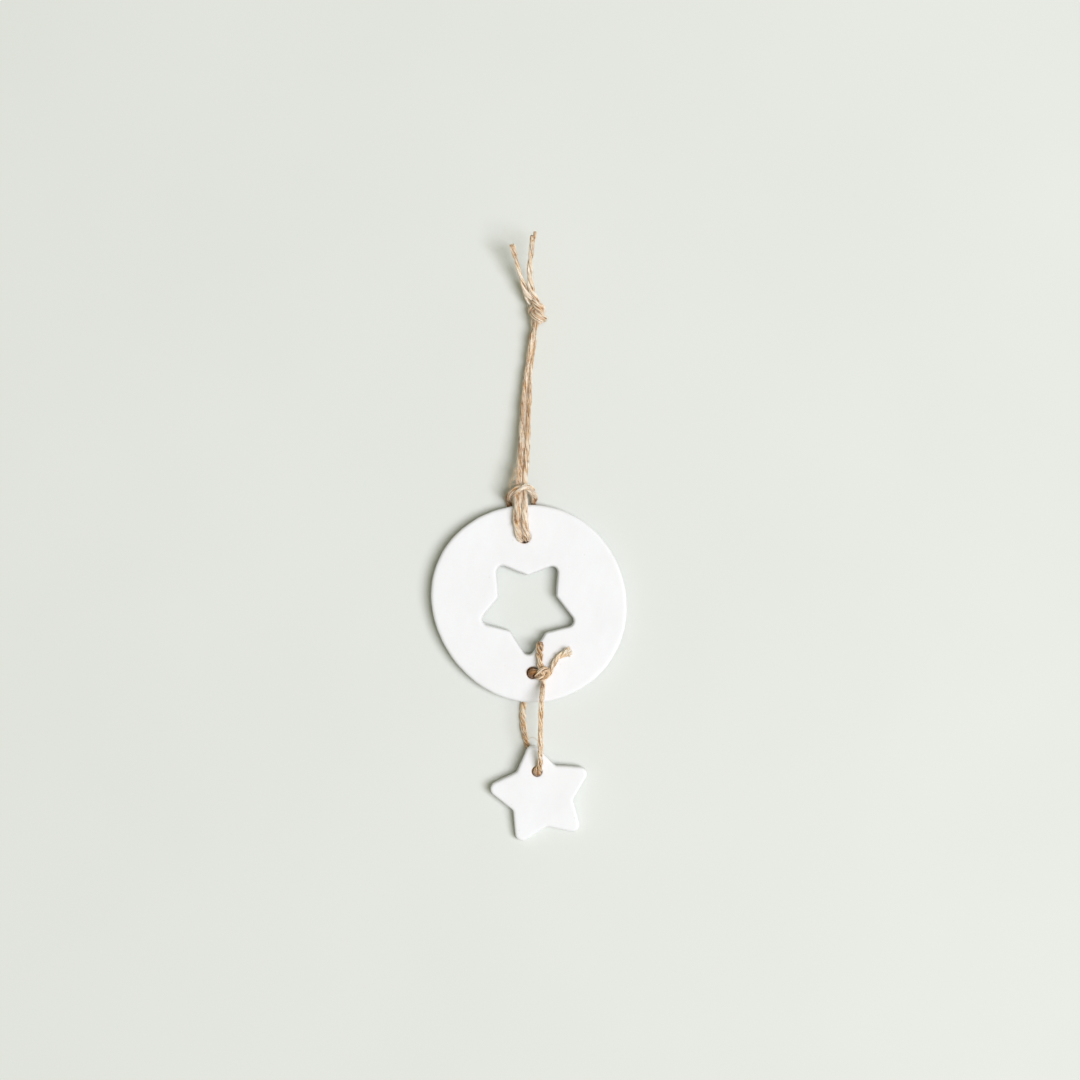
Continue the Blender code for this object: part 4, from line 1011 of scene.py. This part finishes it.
def slab(name, loops, low, high, seed, spacing=1.15):
    """A flat piece of clay. Each loop is a function of how far it is moved into the clay, with
    the width and depth of its rounding on top and below; the first loop is the rim."""
    turns = 7
    verts, faces, count = [], [], 0
    top_rings, low_rings, top_flat = [], [], []
    for j, (loop, wide, deep, wide_low, deep_low) in enumerate(loops):
        rings = []
        for i in range(turns + 1):
            a = math.pi / 2 * i / turns
            rings.append((wide * (1 - math.sin(a)), high - deep * (1 - math.cos(a))))
        walls = max(2, int((high - deep - low - deep_low) / 0.55))
        for i in range(1, walls):
            rings.append((0.0, high - deep + (low + deep_low - high + deep) * i / walls))
        for i in range(turns + 1):
            a = math.pi / 2 * (1 - i / turns)
            rings.append((wide_low * (1 - math.sin(a)), low + deep_low * (1 - math.cos(a))))
        first = count
        for shift, z in rings:
            flat = loop(shift)
            verts.append(np.column_stack([flat, np.full(len(flat), z)]))
            count += len(flat)
        n = len(flat)
        for r in range(len(rings) - 1):
            a = first + r * n + np.arange(n)
            b = first + r * n + (np.arange(n) + 1) % n
            quad = np.stack([a, a + n, b + n, b], 1)
            faces += (quad if j == 0 else quad[:, ::-1]).tolist()
        top_rings.append(first + np.arange(n))
        low_rings.append(first + (len(rings) - 1) * n + np.arange(n))
        top_flat.append(loop(wide))
    # the flat of the face: one triangulation, used above and below
    ring_points = np.concatenate(top_flat)
    edges, start = [], 0
    for flat in top_flat:
        n = len(flat)
        edges += [(start + i, start + (i + 1) % n) for i in range(n)]
        start += n
    box_low, box_high = top_flat[0].min(0), top_flat[0].max(0)
    xs = np.arange(box_low[0], box_high[0], spacing)
    ys = np.arange(box_low[1], box_high[1], spacing * 0.866)
    grid = np.array([(x + (spacing / 2 if k % 2 else 0), y) for k, y in enumerate(ys) for x in xs])
    ok = inside(grid, top_flat[0])
    for flat in top_flat[1:]:
        ok &= ~inside(grid, flat)
    grid = grid[ok]
    gap = np.full(len(grid), 1e9)
    for flat in top_flat:
        gap = np.minimum(gap, np.sqrt(((grid[:, None] - flat[None]) ** 2).sum(2)).min(1))
    grid = grid[gap > spacing * 0.55]
    every = np.concatenate([ring_points, grid])
    out_v, _, tris, origin, _, _ = delaunay_2d_cdt(
        [Vector(q) for q in every], edges, [], 1, 1e-6)
    back = [o[0] for o in origin]
    tris = np.array([[back[i] for i in t] for t in tris if len(t) == 3])
    middle = every[tris].mean(1)
    keep = inside(middle, top_flat[0])
    for flat in top_flat[1:]:
        keep &= ~inside(middle, flat)
    tris = tris[keep]
    a, b, c = (every[tris[:, k]] for k in range(3))
    flip = ((b - a)[:, 0] * (c - a)[:, 1] - (b - a)[:, 1] * (c - a)[:, 0]) < 0
    tris[flip] = tris[flip][:, ::-1]
    n_ring = len(ring_points)
    top_index = np.concatenate([np.concatenate(top_rings), count + np.arange(len(grid))])
    low_index = np.concatenate([np.concatenate(low_rings), count + len(grid) + np.arange(len(grid))])
    verts.append(np.column_stack([grid, np.full(len(grid), high)]))
    verts.append(np.column_stack([grid, np.full(len(grid), low)]))
    faces += top_index[tris].tolist()
    faces += low_index[tris][:, ::-1].tolist()
    v = np.concatenate(verts)
    # rolled and smoothed by hand: long shallow waves on the face, and a rim that isn't quite true
    rng = np.random.default_rng(seed)
    long_wave, short_wave = field(rng, 14, 16.0, 40.0), field(rng, 22, 3.0, 8.0)
    side_x, side_y = field(rng, 10, 14.0, 30.0), field(rng, 10, 14.0, 30.0)
    dent_x, dent_y = field(rng, 14, 3.0, 7.0), field(rng, 14, 3.0, 7.0)
    on_top = np.clip((v[:, 2] - low) / (high - low), 0, 1)
    v[:, 2] += on_top * (0.10 * long_wave(v) + 0.022 * short_wave(v)) - on_top * 0.05
    rest = v.copy()
    v[:, 0] += 0.05 * side_x(rest) + 0.035 * dent_x(rest)
    v[:, 1] += 0.05 * side_y(rest) + 0.035 * dent_y(rest)
    me = bpy.data.meshes.new(name)
    me.from_pydata((v * MM).tolist(), [], faces)
    me.validate()
    me.shade_smooth()
    return me


disc_me = slab("clay_disc_look", [
    (lambda d: round_loop(*DISC_C, DISC_R - d, 440, DISC_WAVES), 1.4, 1.1, 0.9, 0.8),
    (lambda d: star_loop(*CUT_C, CUT_TIP, CUT_NOTCH, CUT_TIP_R, CUT_NOTCH_R, -90, -d, 22, 9,
                         pulled=CUT_PULLED),
     1.0, 1.9, 0.5, 0.4),
    (lambda d: round_loop(*TOP_HOLE, TOP_HOLE_R + d, 56), 0.8, 0.7, 0.5, 0.4),
    (lambda d: round_loop(*LOW_HOLE, LOW_HOLE_R + d, 56), 0.8, 0.7, 0.5, 0.4),
], DISC_Z, DISC_Z + CLAY_T, 51)
disc = link("clay_disc_look", disc_me, clay_disc_look)
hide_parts("clay_disc")
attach(disc, "disc")

star_me = slab("clay_star_look", [
    (lambda d: star_loop(*STAR_FROM_HOLE, STAR_TIP, STAR_NOTCH, STAR_TIP_R, STAR_NOTCH_R,
                         90 + STAR_TURN, d, 20, 11, pulled=STAR_PULLED),
     1.2, 1.0, 0.8, 0.7),
    (lambda d: round_loop(0.0, 0.0, STAR_HOLE_R + d, 48), 0.7, 0.6, 0.4, 0.4),
], -CLAY_T / 2, CLAY_T / 2, 52, spacing=0.95)
star_me.transform(Matrix.Translation(Vector(STAR_HOLE) * MM)
                  @ Matrix.Rotation(math.radians(STAR_TILT), 4, "X"))
star = link("clay_star_look", star_me, clay_star_look)
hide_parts("clay_star")
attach(star, "star")

# ---------------------------------------------------------------- table and light
floor_me = bpy.data.meshes.new("table")
floor_me.from_pydata([(-4, -4, 0), (4, -4, 0), (4, 4, 0), (-4, 4, 0)], [], [(0, 1, 2, 3)])
floor_look, tree, surface = nodes_of("pale_paper")
where = tree.nodes.new("ShaderNodeTexCoord")
mottle = node(tree, "ShaderNodeTexNoise", Scale=9.0, Detail=3.0, Roughness=0.5)
tooth = node(tree, "ShaderNodeTexNoise", Scale=700.0, Detail=2.0, Roughness=0.6)
for n in (mottle, tooth):
    tree.links.new(where.outputs["Object"], n.inputs["Vector"])
tint = ramp(tree, [(0.3, (0.690, 0.712, 0.672)), (0.7, (0.706, 0.728, 0.690))])
tree.links.new(mottle.outputs["Fac"], tint.inputs["Fac"])
tree.links.new(tint.outputs["Color"], surface.inputs["Base Color"])
paper = node(tree, "ShaderNodeBump", Strength=0.12, Distance=0.00004)
tree.links.new(tooth.outputs["Fac"], paper.inputs["Height"])
tree.links.new(paper.outputs["Normal"], surface.inputs["Normal"])
surface.inputs["Roughness"].default_value = 0.9
surface.inputs["Specular IOR Level"].default_value = 0.1
table = link("table", floor_me, floor_look)

world = bpy.data.worlds.new("studio")
bpy.context.scene.world = world
world.use_nodes = True
world.node_tree.nodes["Background"].inputs["Color"].default_value = (1.0, 0.985, 0.74, 1.0)
world.node_tree.nodes["Background"].inputs["Strength"].default_value = 0.315

key = bpy.data.lights.new("window", "AREA")
key.shape = "ELLIPSE"       # a tall window: narrow across, long from low to high
KEY_FAR, KEY_AZ, KEY_EL = 4.0, -16.5, 62.5
key.size, key.size_y = 1.5, 3.2
key.energy = 158.0
key.color = (1.0, 1.0, 1.072)
window = bpy.data.objects.new("window", key)
bpy.context.scene.collection.objects.link(window)
az, el = math.radians(KEY_AZ), math.radians(KEY_EL)
towards = Vector((math.cos(az) * math.cos(el), math.sin(az) * math.cos(el), math.sin(el)))
window.location = Vector((0.0, 0.04, 0.0)) + towards * KEY_FAR
window.rotation_euler = towards.to_track_quat("Z", "Y").to_euler()

bpy.context.scene.view_settings.view_transform = "Standard"
bpy.context.scene.view_settings.look = "None"

# ---------------------------------------------------------------- last update of the scene
bpy.context.view_layer.update()
